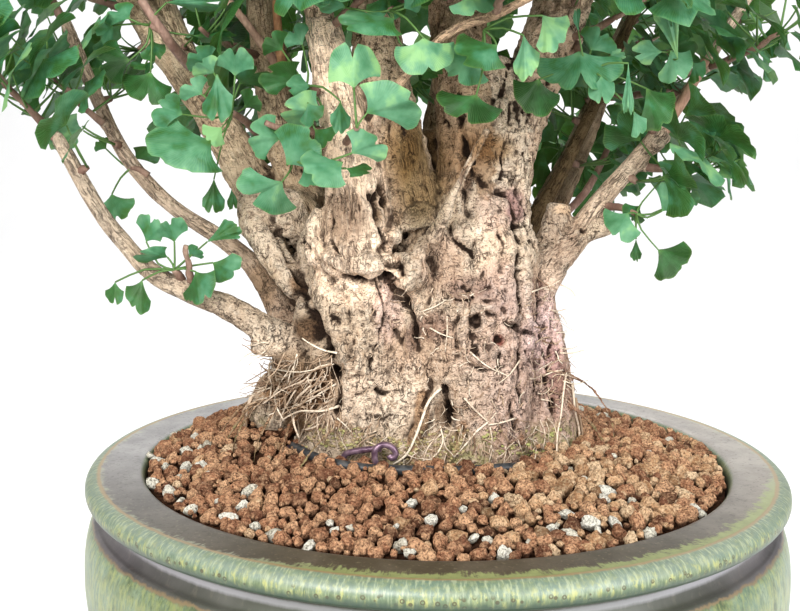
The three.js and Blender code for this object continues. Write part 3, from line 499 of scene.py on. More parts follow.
def stem_point(shoot, s):
    _, way, foot = shoot_base(shoot)
    length = shoot[3]
    return foot + way * length * s + np.array([0, 0, SHOOT_LIFT * length * s * s])


# ---------------------------------------------------------------- the trunk
BODY_SIDES, SKIN_VOXEL = 64, 1.88


def body_part():
    """The clump's body, lobed like a bundle of stems."""
    rows = smooth_line([[mx, my, height, scale] for height, scale, mx, my in BODY_RINGS], 4)
    points = []
    for mx, my, height, scale in rows:
        for j in range(BODY_SIDES):
            angle = 2 * math.pi * j / BODY_SIDES
            c, s = math.cos(angle), math.sin(angle)
            oval = 1 / math.hypot(c / BODY_HALF_WIDTH, s / BODY_HALF_DEPTH)
            lobes = 4 * math.cos(5 * angle + 0.7) + 3 * math.cos(8 * angle + 2)
            radius = (oval + lobes) * scale
            points.append((mx + radius * c, my + radius * s, height))
    return np.array(points), ring_faces(len(rows), BODY_SIDES) + end_faces(len(rows), BODY_SIDES)


# Small forms that only the finished surface has: [x, y, z, rx, ry, rz].
KNOBS = [
    [-24, -58, 136, 5, 5, 5], [-16, -58, 137, 5, 5, 7], [-14, -56, 148, 4, 4, 6],
    [-38, -58, 141, 8, 7, 8], [-82, -50, 150, 10, 10, 12], [-46, -66, 142, 13, 9, 10],
    [-68, -62, 144, 12, 9, 11], [-28, -46, 160, 4, 4, 6], [-83, -49, 166, 7, 7, 14], [-60, -66, 152, 9, 6, 9],
    [158, 1, 236, 5, 5, 6], [166, 3, 231, 5, 5, 5], [152, 3, 222, 5, 6, 5], [161, -3, 226, 5, 5, 5],
]


def trunk_parts():
    parts = [body_part()]
    for i, stops in enumerate(COLUMNS):
        parts.append(tube(stops, 20, 3, 0.02, 20 + i))
    for i, (limb, stops) in enumerate(LIMBS.items()):
        tips = [shoot for shoot in SHOOTS if shoot[0] == limb and shoot[1] == 1]
        full = stops + [[*shoot_base(tips[0])[2], PEG_RADIUS]] if tips else stops
        parts.append(tube(full, 14, 4, 0.03, 40 + i))
    for i, stops in enumerate(BURLS):
        parts.append(lump(*stops, seed=60 + i))
    for i, stops in enumerate(KNOBS):
        parts.append(lump(*stops, seed=80 + i))
    for i, stops in enumerate(SNAGS):
        parts.append(tube(stops, 10, 3, 0.04, 90 + i))
    for i, stops in enumerate(ROOTS):
        parts.append(tube(stops, 8, 3, 0.04, 110 + i))
    for shoot in SHOOTS:
        if shoot[1] < 1:
            start, _, foot = shoot_base(shoot)
            parts.append(tube([[*start, PEG_RADIUS], [*foot, PEG_RADIUS]], 8))
    return parts


# How the bark of each limb differs from the clump's own: colour as a share of it, and how
# craggy it is, from 0 for smooth to 1.
CLUMP_BARK = ((1.0, 1.0, 1.0), 1.0)
ROOT_BARK = ((0.62, 0.50, 0.40), 0.6)
# The darker shares of leader and rightRear are partly painted shade, and the paler share of frontStem is partly
# painted light.
BARKS = {
    "left": ((0.98, 0.94, 0.86), 0.45), "leftFork": ((0.88, 0.83, 0.74), 0.4),
    "leftUpright": ((0.92, 0.87, 0.78), 0.5), "frontStem": ((1.42, 1.38, 1.38), 0.45),
    "midStem": ((0.98, 0.92, 0.86), 0.8), "leader": ((0.68, 0.60, 0.52), 0.62),
    "rightStem": ((0.98, 0.91, 0.88), 0.8), "rightBranch": ((1.02, 0.98, 0.97), 0.35),
    "rightRear": ((0.30, 0.25, 0.17), 0.3), "leftThinUpper": ((0.86, 0.81, 0.80), 0.15),
    "leftThinLower": ((0.78, 0.77, 0.76), 0.2), "backLeft": ((0.7, 0.65, 0.58), 0.5),
    "backMiddle": ((0.7, 0.65, 0.58), 0.5), "backRight": ((0.7, 0.65, 0.58), 0.5),
    "frontLeft": ((0.80, 0.74, 0.68), 0.2), "frontMiddle": ((0.80, 0.74, 0.68), 0.2),
    "frontRight": ((0.80, 0.74, 0.68), 0.2), "frontTwig": ((0.95, 0.80, 0.70), 0.1),
}


def grown(points):
    """For each point: the girth of its limb, its place on the limb as across, across and along,
    and its bark's colour and cragginess."""
    rows, barks = [], []
    lines = [(BARKS[name], stops) for name, stops in LIMBS.items()]
    lines += [(CLUMP_BARK, stops) for stops in COLUMNS + SNAGS]
    lines += [(ROOT_BARK, stops) for stops in ROOTS]
    for bark, stops in lines:
        line = smooth_line(stops, 6)
        ahead = unit(np.gradient(line[:, :3], axis=0))
        reach = np.concatenate([[0], np.cumsum(np.linalg.norm(np.diff(line[:, :3], axis=0), axis=1))])
        side = np.array([1.0, 0, 0.01])
        for row, way, far in zip(line, ahead, reach):
            side = unit(side - way * (side @ way))
            if stops is LIMBS["frontTwig"] and far < 40:
                continue
            rows.append([*row, *side, *np.cross(way, side), far])
            barks.append([*bark[0], bark[1], bark is ROOT_BARK])
    rows, barks = np.array(rows), np.array(barks)
    tree = KDTree(len(rows))
    for i, row in enumerate(rows):
        tree.insert(row[:3], i)
    tree.balance()
    nearest = np.empty(len(points), int)
    for i, p in enumerate(points):
        near = tree.find_n(p, 3)
        nearest[i] = min(near, key=lambda n: n[2] - rows[n[1], 3])[1]
    row, off = rows[nearest], points - rows[nearest, :3]
    place = np.stack([np.einsum("ij,ij->i", off, row[:, 4:7]), np.einsum("ij,ij->i", off, row[:, 7:10]),
                      row[:, 10]], axis=-1)
    bark = barks[nearest]
    # The foot of the trunk lies near roots without being one.
    stray = bark[:, 4] * smooth((np.linalg.norm(off, axis=-1) - row[:, 3] - 0.8) / 1.5)
    tint = bark[:, :3] + stray[:, None] * (np.array(CLUMP_BARK[0]) - bark[:, :3])
    return row[:, 3], place, tint, bark[:, 3] + stray * (CLUMP_BARK[1] - bark[:, 3])


# Marks on the front: lines and spots by their place in the picture, in pixels.
# [points, half width, depth in mm]; a negative depth is raised.
# Cracks are carved, and darkened with painted shade that grows with their depth.
CRACKS = [
    [[(279, 231), (288, 254), (297, 274), (303, 288)], 3.0, 7],
    [[(300, 298), (308, 314), (320, 334), (328, 352), (336, 374)], 6.5, 9],
    [[(336, 374), (340, 396), (336, 414)], 3.0, 6], [[(303, 240), (321, 261), (339, 274), (357, 279)], 2.2, 4],
    [[(357, 279), (372, 280), (386, 277)], 2.2, 4],
    [[(331, 196), (329, 214), (330, 232), (335, 250), (342, 258)], 1.6, 3],
    [[(386, 278), (402, 292), (408, 309), (411, 323), (415, 341), (417, 348)], 3.6, 9],
    [[(374, 196), (380, 222), (390, 246), (397, 262), (403, 278)], 3.6, 5.5],
    [[(475, 309), (498, 316), (518, 327), (537, 336)], 2.2, 6],
    [[(522, 270), (521, 305), (520, 323), (521, 350)], 2.2, 6], [[(521, 350), (520, 381), (522, 404)], 2.2, 5],
    [[(449, 225), (453, 238), (462, 247), (472, 256)], 2.2, 4], [[(444, 385), (443, 402), (446, 424)], 3.0, 6],
    [[(430, 378), (430, 392), (424, 402), (413, 408)], 2.2, 4], [[(466, 292), (476, 284), (484, 275)], 2.0, 3],
    [[(510, 200), (517, 212), (519, 224)], 2.2, 4],
    [[(518, 222), (521, 238), (521, 252), (519, 266), (521, 282)], 3.2, 8],
    [[(356, 393), (368, 391), (378, 390), (386, 393), (397, 391), (409, 394), (424, 392)], 1.3, 2.5],
    [[(348, 296), (351, 318), (353, 338), (351, 356)], 1.5, 1.8],
    [[(374, 278), (383, 294), (386, 314), (383, 332)], 1.7, 3],
    [[(356, 416), (364, 421), (373, 414), (384, 419), (396, 413)], 1.5, 3],
    [[(511, 403), (515, 421), (520, 430)], 2.6, 5], [[(545, 381), (549, 399), (556, 416)], 3.2, 5],
    [[(457, 317), (452, 332)], 1.8, 3], [[(396, 330), (404, 352), (400, 372)], 1.6, 2.5],
    [[(461, 118), (462, 135), (465, 152), (470, 170), (480, 183), (494, 189), (508, 194)], 3.0, 8],
    [[(468, 176), (463, 192), (466, 214)], 2.0, 3.5], [[(497, 232), (505, 242), (503, 256)], 1.8, 3],
    [[(484, 232), (474, 240), (470, 252)], 1.6, 2.5], [[(538, 292), (531, 306), (534, 322)], 2.0, 4],
    [[(553, 318), (556, 338), (551, 356)], 2.0, 4], [[(529, 352), (536, 370), (533, 390)], 2.2, 4],
    [[(545, 326), (540, 342)], 1.6, 3], [[(330, 372), (345, 380), (362, 376), (380, 384)], 1.6, 2.2],
    [[(455, 356), (470, 368), (488, 372), (506, 366)], 1.8, 3],
    [[(540, 300), (538, 322), (545, 350), (548, 372)], 1.8, 3],
    [[(440, 300), (452, 296), (466, 300), (474, 296)], 1.6, 3],
    [[(417, 352), (432, 360), (446, 362), (458, 356)], 1.6, 2.5], [[(378, 389), (383, 394)], 2.2, 4],
    [[(331, 180), (333, 204), (330, 226)], 1.2, 1.4], [[(343, 150), (345, 182), (341, 214)], 1.0, 1.2],
    [[(356, 150), (358, 184), (361, 212)], 1.1, 1.4],
]
RIDGES = [
    [[(446, 381), (434, 400), (422, 424), (406, 446), (393, 462)], 3.2, 3.5],
    [[(433, 240), (420, 256), (411, 276), (405, 290)], 5.0, 3],
    [[(459, 330), (462, 352), (476, 364), (496, 362), (508, 346)], 2.6, 2.2],
    [[(464, 318), (470, 342), (484, 352), (496, 350)], 2.2, 1.8],
    [[(513, 286), (514, 320), (512, 352), (508, 388)], 3.0, 2.2],
    [[(528, 286), (530, 318), (532, 346)], 4.0, 2.0], [[(322, 290), (330, 330), (334, 366)], 4.0, 2.0],
    [[(478, 424), (470, 440), (462, 452)], 2.2, 2.0], [[(500, 410), (506, 430), (504, 446)], 3.0, 2.5],
    [[(473, 346), (478, 354)], 5, 5], [[(384, 248), (391, 260), (394, 268)], 5, -5],
]
# Spots: [px, py, rx, ry, depth in mm]; each is carved, and darkened with painted shade by its depth.
SPOTS = [
    [476.6, 321.7, 7.5, 8, 8], [499, 340.7, 5, 4.5, 4], [414, 335, 4.5, 11, 5], [584.5, 229.5, 4.6, 3.4, 4],
    [447, 413, 6, 11, 8], [381, 205, 4, 22, 6], [314, 326, 9, 20, 5], [516, 424, 4, 9, 5],
    [381, 391, 2.6, 2.4, 4], [470, 214, 8, 9, 2.2], [402, 262, 4, 6, 3],
    [330, 352, 4, 6, 3], [488, 300, 5, 4, 3], [553, 405, 5, 9, 4], [462, 286, 4, 4, 3],
]
# The knot like an eye, which stays pale in its middle.
EYE = (476.6, 321.7)


def line_distance(places, line):
    """Distance from places to a line of points."""
    best = np.full(len(places), 1e9)
    for a, b in zip(line, line[1:]):
        a, b = np.array(a, float), np.array(b, float)
        t = np.clip((places - a) @ (b - a) / ((b - a) @ (b - a)), 0, 1)
        best = np.minimum(best, np.linalg.norm(places - a - t[:, None] * (b - a), axis=-1))
    return best


def seen_from_front(points, quads):
    """1 where the front view sees a point of the mesh and 0 where not, and its place in the picture."""
    tree = BVHTree.FromPolygons(points.tolist(), quads.tolist())
    normal = normals_of(points, quads)
    toward = unit(CAMERA_AT - points)
    facing = np.einsum("ij,ij->i", normal, toward)
    place = to_picture(points)
    inside = (facing > 0.05) & (place[:, 0] > 90) & (place[:, 0] < 710) & (place[:, 1] > -5)
    seen = np.zeros(len(points))
    for i in np.flatnonzero(inside):
        hit = tree.ray_cast(CAMERA_AT, points[i] - CAMERA_AT)
        if hit[3] is not None and hit[3] > np.linalg.norm(points[i] - CAMERA_AT) - 4:
            seen[i] = smooth((facing[i] - 0.05) / 0.3)
    return seen, place


# Patches of another colour on the front: [px, py, rx, ry, share of the colour]. Some are the
# bark's own colour, such as crusts and the red-brown knot; the darkest, in the recess, in
# crevices and in holes, are painted shade.
PATCHES = [
    [421, 174, 30, 62, (0.46, 0.41, 0.29)], [402, 150, 22, 34, (0.66, 0.58, 0.44)],
    [381, 205, 5, 24, (0.34, 0.28, 0.22)], [516, 204, 10, 20, (0.62, 0.5, 0.56)],
    [499, 341, 6, 5, (0.42, 0.1, 0.08)], [468, 290, 24, 15, (0.62, 0.55, 0.56)],
    [434, 326, 20, 16, (0.66, 0.58, 0.58)], [412, 336, 9, 18, (0.5, 0.45, 0.45)],
    [536, 288, 9, 12, (0.45, 0.38, 0.38)], [556, 380, 10, 40, (0.72, 0.62, 0.62)],
    [446, 414, 12, 16, (0.35, 0.3, 0.26)], [308, 328, 14, 16, (0.3, 0.23, 0.18)],
    [322, 384, 13, 20, (0.22, 0.17, 0.13)], [296, 424, 14, 10, (0.34, 0.27, 0.2)],
    [270, 366, 12, 9, (0.55, 0.45, 0.4)], [490, 148, 26, 16, (0.66, 0.55, 0.42)],
    [465, 180, 8, 22, (0.35, 0.3, 0.28)], [296, 385, 40, 34, (0.72, 0.62, 0.52)],
    [304, 394, 32, 22, (0.5, 0.42, 0.34)], [354, 262, 30, 14, (0.8, 0.8, 0.8)],
    [388, 312, 14, 32, (1.04, 0.97, 1.06)], [318, 232, 9, 26, (0.92, 0.92, 0.9)],
    [345, 218, 26, 28, (0.55, 0.51, 0.485)], [330, 330, 34, 44, (0.94, 0.91, 0.88)],
    [376, 396, 64, 40, (1.22, 1.22, 1.24)], [495, 250, 22, 40, (1.14, 1.09, 1.07)],
    [560, 240, 22, 34, (0.68, 0.66, 0.66)], [296, 285, 9, 10, (0.5, 0.4, 0.32)],
    [262, 285, 16, 24, (0.76, 0.7, 0.62)], [565, 208, 12, 8, (1.08, 0.98, 0.88)],
    [442, 262, 26, 34, (0.84, 0.76, 0.74)], [502, 288, 22, 30, (0.88, 0.84, 0.9)],
    [545, 335, 20, 44, (1.36, 1.36, 1.54)], [497, 208, 24, 24, (0.94, 0.88, 0.92)],
    [470, 150, 34, 30, (0.82, 0.74, 0.66)], [430, 350, 50, 30, (0.96, 0.9, 0.88)],
]


def oval(place, x, y, rx, ry):
    """How many half widths each place is from the middle of an oval."""
    return np.hypot((place[:, 0] - x) / rx, (place[:, 1] - y) / ry)


def ridge(points, size, width, seed):
    """1 on wandering lines, where the noise crosses nought, and 0 off them."""
    return 1 - smooth(np.abs(grain(points, size, seed)) / width)


def trunk_surface():
    points, quads = fuse(trunk_parts(), SKIN_VOXEL)
    girth, grow, tint, craggy = grown(points)
    thick = smooth((girth - 5) / 16)
    points = relax(points, quads, 8, 0.15 + 0.35 * thick)
    normal = normals_of(points, quads)
    craggy = np.maximum(craggy, smooth((150 - points[:, 2]) / 60))
    craggy = np.maximum(craggy, smooth((175 - points[:, 2]) / 60) * 0.7)
    # Broad swellings, then flakes with broken cracks between them: every way on the clump,
    # and along the limb on a limb.
    warp = np.stack([grain(points, 11, k) for k in (1, 2, 3)], axis=-1) * 3.5
    low = smooth((175 - points[:, 2]) / 70)
    swell = 2.4 * grain(points, 30, 4) + 1.6 * grain(points, (13, 13, 18), 5)
    flakes = (0.6 * np.tanh(3.5 * grain(points + warp, (9, 9, 18), 12))
              + 0.6 * np.tanh(3 * grain(points + warp, 5.5, 13)))
    flakes *= 1 + 1.3 * smooth((66 - points[:, 2]) / 50)
    bent = grow + 0.4 * warp
    cracks = low * ridge(points + warp, (8, 8, 22), 0.26, 6) + (1 - low) * ridge(bent, (7, 7, 26), 0.3, 8)
    cracks *= smooth(0.5 + 1.6 * grain(points, 15, 9))
    small = (low * ridge(points - warp, (4.6, 4.6, 9), 0.3, 10)
             + (1 - low) * ridge(bent, (4.2, 4.2, 16), 0.36, 11))
    small *= smooth(0.45 + 1.6 * grain(points, 8, 14))
    crumbs = np.tanh(2.5 * grain(points + 0.5 * warp, 3.6, 15))
    rough = (0.8 * swell + 1.0 * craggy * flakes - 2.6 * craggy * cracks - 1.5 * (0.4 + 0.6 * craggy) * small
             + (0.25 + 0.75 * craggy) * 0.85 * crumbs)
    size = 0.12 + 0.88 * thick
    seen, place = seen_from_front(points, quads)
    # Painted shade in the carved cracks and spots, darker where they are carved deeper.
    carved_shade = np.zeros(len(points))
    carve = np.zeros(len(points))
    jitter = np.stack([grain(points, 9, 21), grain(points, 9, 22)], axis=-1) * 2.2
    jitter += np.stack([grain(points, 4.5, 23), grain(points, 4.5, 24)], axis=-1) * 1.2
    spot_place = place + jitter
    torn = np.clip(0.8 + 0.7 * grain(points, 8, 25) + 0.3 * grain(points, 4, 26), 0.15, 1.3)
    for line, half, depth in CRACKS:
        near = (1 - smooth(line_distance(spot_place, line) / (2 * half))) * torn
        carve += depth * near
        carved_shade = np.maximum(carved_shade, near ** 1.5 * min(1, depth / 5))
    for line, half, depth in RIDGES:
        carve -= depth * (1 - smooth(line_distance(spot_place, line) / (2 * half)))
    for px, py, rx, ry, depth in SPOTS:
        near = 1 - smooth((oval(spot_place, px, py, rx, ry) - 0.45) / 0.8)
        carve += depth * near
        carved_shade = np.maximum(carved_shade, near * min(1, depth / 5))
    # The bark's own colour, and painted shade in the recess, crevices and holes.
    for px, py, rx, ry, share in PATCHES:
        near = (1 - smooth((oval(spot_place, px, py, rx, ry) - 0.55) / 0.75)) * seen
        tint = tint * (1 + near[:, None] * (np.array(share) - 1))
    eye = oval(place, *EYE, 1, 1)
    carved_shade *= smooth((eye - 0.8) / 2.4)
    carve -= 4.5 * (1 - smooth(eye / 4.5))
    ring = oval(place, 484, 332, 1, 1.15)
    carve += 1.6 * np.cos(ring / 2.3) * smooth((36 - ring) / 12) * smooth((ring - 8) / 5)
    recess = (1 - smooth((oval(place, 419, 182, 24, 50) - 0.7) / 0.6)) * seen
    rough = rough * (1 - 0.6 * recess)
    points = points + normal * (size * rough - seen * carve)[:, None]
    points = relax(points, quads, 1, np.full(len(points), 0.12))
    # Painted shade in the noise cracks and in the carved cracks and spots.
    crack_shade = np.clip(np.maximum((0.85 * cracks * craggy + 0.3 * small) * size * (1 - recess), carved_shade * seen), 0, 1)
    # How far each point stands out of the smoothed skin: it paints a highlight on what stands out and shade in
    # the hollows.
    even = relax(points, quads, 16, np.full(len(points), 0.6))
    relief_light_shade = np.einsum("ij,ij->i", points - even, normals_of(even, quads))
    shade = {"crack_shade": crack_shade, "grow": grow, "tint": tint, "craggy": craggy * (1 - 0.5 * recess),
             "relief_light_shade": np.clip(relief_light_shade / 1.6, -1, 1)}
    return points, quads, shade


def paint(obj, name, values):
    """Stores one number, or three, for each vertex under that name."""
    values = np.asarray(values, float)
    if values.ndim == 1:
        layer = obj.data.attributes.new(name, "FLOAT", "POINT")
        layer.data.foreach_set("value", values)
    else:
        layer = obj.data.attributes.new(name, "FLOAT_VECTOR", "POINT")
        layer.data.foreach_set("vector", values.ravel())


# ---------------------------------------------------------------- materials
class Look:
    """A material under construction. Each call adds a node and returns its output."""

    def __init__(self, name):
        self.material = bpy.data.materials.new(name)
        self.material.use_nodes = True
        self.tree = self.material.node_tree
        self.shader = self.tree.nodes["Principled BSDF"]
        self.coords = self.tree.nodes.new("ShaderNodeTexCoord").outputs["Object"]

    def node(self, kind, links, out=0, **settings):
        made = self.tree.nodes.new("ShaderNode" + kind)
        for key, value in settings.items():
            setattr(made, key, value)
        for key, value in links.items():
            self.feed(made.inputs[key], value)
        return made.outputs[out]

    def feed(self, socket, value):
        """Links an output to a socket, or sets the socket to a number or a colour."""
        if isinstance(value, bpy.types.NodeSocket):
            self.tree.links.new(value, socket)
        elif socket.type == "RGBA":
            socket.default_value = (*value, 1) if isinstance(value, tuple) else (value, value, value, 1)
        else:
            socket.default_value = value

    def stretch(self, scale, source=None):
        return self.node("Mapping", {"Vector": source or self.coords, "Scale": scale})

    def noise(self, size, detail=3.0, source=None, rough=0.55, distortion=0.0):
        """Noise with bumps of that size in millimetres."""
        return self.node("TexNoise", {"Vector": source or self.coords, "Scale": 1000 / size,
                                      "Detail": detail, "Roughness": rough, "Distortion": distortion})

    def ramp(self, value, stops):
        made = self.tree.nodes.new("ShaderNodeValToRGB")
        self.tree.links.new(value, made.inputs[0])
        elements = made.color_ramp.elements
        while len(elements) < len(stops):
            elements.new(0.5)
        for element, (at, colour) in zip(elements, stops):
            element.position = at
            element.color = (*colour, 1) if isinstance(colour, tuple) else (colour, colour, colour, 1)
        return made.outputs[0]

    def mix(self, factor, a, b, blend="MIX"):
        return self.node("Mix", {0: factor, 6: a, 7: b}, 2, data_type="RGBA", blend_type=blend)

    def over(self, under, value, stops, top):
        """A colour over another, as thick as the ramp of a value says."""
        return self.mix(self.ramp(value, stops), under, top)

    def maths(self, operation, a, b=0.5):
        return self.node("Math", {0: a, 1: b}, operation=operation)

    def plus(self, a, b):
        return self.maths("ADD", a, b)

    def minus(self, a, b):
        return self.maths("SUBTRACT", a, b)

    def times(self, a, *others):
        for b in others:
            a = self.maths("MULTIPLY", a, b)
        return a

    def moved(self, source, drift, far):
        """Places that a coloured noise moves about."""
        step = self.node("VectorMath", {0: drift, "Scale": far}, operation="SCALE")
        return self.node("VectorMath", {0: source, 1: step}, operation="ADD")

    def stored(self, name, out="Fac"):
        return self.node("Attribute", {}, out, attribute_name=name)

    def finish(self, colour, roughness, height=None, bump=0.3, depth=0.001, **fixed):
        if height:
            fixed["Normal"] = self.node("Bump", {"Height": height, "Strength": bump, "Distance": depth},
                                        "Normal")
        for key, value in {"Base Color": colour, "Roughness": roughness, **fixed}.items():
            self.feed(self.shader.inputs[key.replace("_", " ")], value)
        return self.material


def bark_look():
    """Pale craggy bark with broken dark lines. On limbs its grain runs along the limb."""
    look = Look("bark")
    craggy, crack_shade = look.stored("craggy"), look.stored("crack_shade")
    drift = look.node("TexNoise", {"Vector": look.coords, "Scale": 110.0, "Detail": 2.0}, "Color")

    def wander(source, far):
        return look.moved(source, drift, far)

    def line(source, size, width, detail=1.0):
        """1 along the wandering line where a noise passes its middle."""
        off = look.maths("ABSOLUTE", look.minus(look.noise(size, detail, source, 0.6), 0.5))
        return look.ramp(off, [(0.0, 1.0), (width, 0.0)])

    clump = look.stretch((1, 1, 0.5), wander(look.coords, 0.005))
    limb = look.stretch((1, 1, 0.13), wander(look.stored("grow", "Vector"), 0.003))
    on_clump = look.ramp(craggy, [(0.35, 0.0), (0.8, 1.0)])
    # Flakes: the same noise lifts the surface and lightens it, and darkens what lies low,
    # partly the bark's own pale flakes and dark hollows and partly painted highlight and painted shade.
    fleck = look.mix(on_clump, look.noise(2.2, 4.0, limb, 0.65), look.noise(3.6, 5.0, clump, 0.68))
    scale = look.noise(4.4, 4.0, look.stretch((0.6, 0.6, 1.3), wander(look.coords, 0.004)), 0.62)
    gate_wide = look.ramp(look.noise(12, 2.0), [(0.46, 0.0), (0.58, 1.0)])
    gate_fine = look.ramp(look.noise(5, 2.0), [(0.48, 0.0), (0.58, 1.0)])
    gashes = look.times(look.mix(on_clump, line(limb, 3.6, 0.05, 2.0), line(clump, 8, 0.035, 3.0)), gate_wide)
    hairs = look.times(look.mix(on_clump, line(limb, 1.8, 0.05), line(clump, 3.4, 0.035, 2.0)), gate_fine)
    base = look.ramp(look.noise(24, 4.0, clump, 0.6), [
        (0.3, (0.53, 0.385, 0.265)), (0.5, (0.65, 0.495, 0.355)), (0.7, (0.74, 0.595, 0.445))])
    # Pale flakes, with painted highlight on the raised ones.
    pale = look.ramp(fleck, [(0.52, 0.0), (0.68, 0.6)])
    base = look.mix(pale, base, (0.84, 0.72, 0.57))
    dark = look.mix(look.noise(9, 3.0), (0.10, 0.062, 0.042), (0.20, 0.13, 0.088))
    # Dark between the flakes: partly the bark's own, partly painted shade.
    low_dark_and_shade = look.mix(on_clump, look.ramp(fleck, [(0.36, 0.75), (0.48, 0.0)]),
                         look.ramp(fleck, [(0.34, 0.9), (0.42, 0.0)]))
    colour = look.mix(low_dark_and_shade, base, dark)
    # Painted shadow under the flat scales of the clump.
    under = look.times(look.ramp(scale, [(0.34, 1.0), (0.415, 0.0)]), on_clump)
    deep = (0.052, 0.031, 0.020)
    colour = look.mix(look.times(under, 0.65), colour, dark)
    colour = look.mix(look.times(hairs, 0.6), colour, dark)
    colour = look.mix(look.times(gashes, 0.9), colour, deep)
    dashes = look.noise(1.9, 3.0, look.stretch((0.55, 0.55, 1.3), wander(look.coords, 0.006)), 0.66, 1.4)
    pits = look.times(look.ramp(dashes, [(0.575, 0.0), (0.62, 1.0)]),
                      look.ramp(look.noise(8, 2.0), [(0.40, 0.15), (0.54, 1.0)]))
    colour = look.mix(look.times(pits, look.mix(on_clump, 0.45, 0.9)), colour, deep)
    # Painted highlight on what stands out of the skin, and painted shade in its hollows.
    relief_light_shade = look.plus(look.times(look.stored("relief_light_shade"), 0.5), 0.5)
    colour = look.over(colour, relief_light_shade, [(0.58, 0.0), (0.9, 0.25)], (0.84, 0.72, 0.57))
    colour = look.over(colour, relief_light_shade, [(0.12, 0.9), (0.38, 0.0)], deep)
    colour = look.mix(1.0, colour, look.stored("tint", "Vector"), "MULTIPLY")
    # Painted shade in cracks and holes, broken up by noise.
    torn = look.plus(crack_shade, look.times(look.minus(look.noise(3, 3.0), 0.5), 0.9))
    colour = look.over(colour, torn, [(0.34, 0.0), (0.62, 0.96)], (0.024, 0.013, 0.008))
    moss = look.times(look.stored("moss"), look.ramp(look.noise(5, 3.0), [(0.40, 0.0), (0.56, 0.8)]))
    colour = look.mix(moss, colour, look.mix(look.noise(2.5, 2.0), (0.28, 0.25, 0.08), (0.55, 0.50, 0.24)))
    height = look.minus(look.times(fleck, 1.6), look.times(gashes, 0.8))
    height = look.minus(height, look.times(hairs, 0.4))
    height = look.plus(height, look.times(scale, look.times(on_clump, 0.8)))
    height = look.plus(height, look.times(look.noise(1.3, 3.0), 0.3))
    height = look.minus(height, look.times(pits, 0.5))
    return look.finish(colour, 0.88, height, 1.0, 0.003, Specular_IOR_Level=0.12)


def build_trunk():
    points, quads, shade = trunk_surface()
    look = bark_look()
    tone = 1 + 0.10 * grain(points, 60, 31) + 0.08 * grain(points, 18, 32)
    tint = shade["tint"] * tone[:, None]
    pink = smooth((points[:, 0] + 10) / 70) * smooth((150 - points[:, 2]) / 60)
    tint *= 1 + pink[:, None] * (np.array([0.98, 0.88, 0.95]) - 1)
    low = smooth((14 - points[:, 2]) / 26)
    tint *= 1 + low[:, None] * (np.array([0.98, 0.95, 0.82]) - 1)
    moss = smooth((34 - points[:, 2]) / 24) * smooth(0.5 + 1.2 * grain(points, 26, 33))
    # Painted shade in cracks and holes, varied a little.
    crack_shade = shade["crack_shade"] * (0.85 + 0.15 * grain(points, 6, 34))
    level = points[quads[:, 0], 2]
    names = [(name, (level >= low) & (level < high)) for name, low, high in (
        ("trunk_foot", -999, 78), ("trunk_clump", 78, 205), ("trunk_limbs", 205, 340),
        ("trunk_tips", 340, 999))]
    for name, chosen in names:
        used, faces = np.unique(quads[chosen], return_inverse=True)
        obj = piece(name, points[used], faces.reshape(-1, 4).tolist(), "bark", ("trunk",), look)
        for key, values in (("tint", tint), ("crack_shade", crack_shade), ("moss", moss), ("craggy", shade["craggy"]),
                            ("relief_light_shade", shade["relief_light_shade"]), ("grow", MM * shade["grow"])):
            paint(obj, key, values[used])
    return points, quads


# ---------------------------------------------------------------- pot
POT_SIDES = 136
DRAINS = [(95 * math.cos(turn), 95 * math.sin(turn)) for turn in math.pi / 2 + 2 * math.pi * np.arange(3) / 3]
WIRE_HOLES = [(-128, -30), (92, -92), (-74, -84), (-52, -92)]


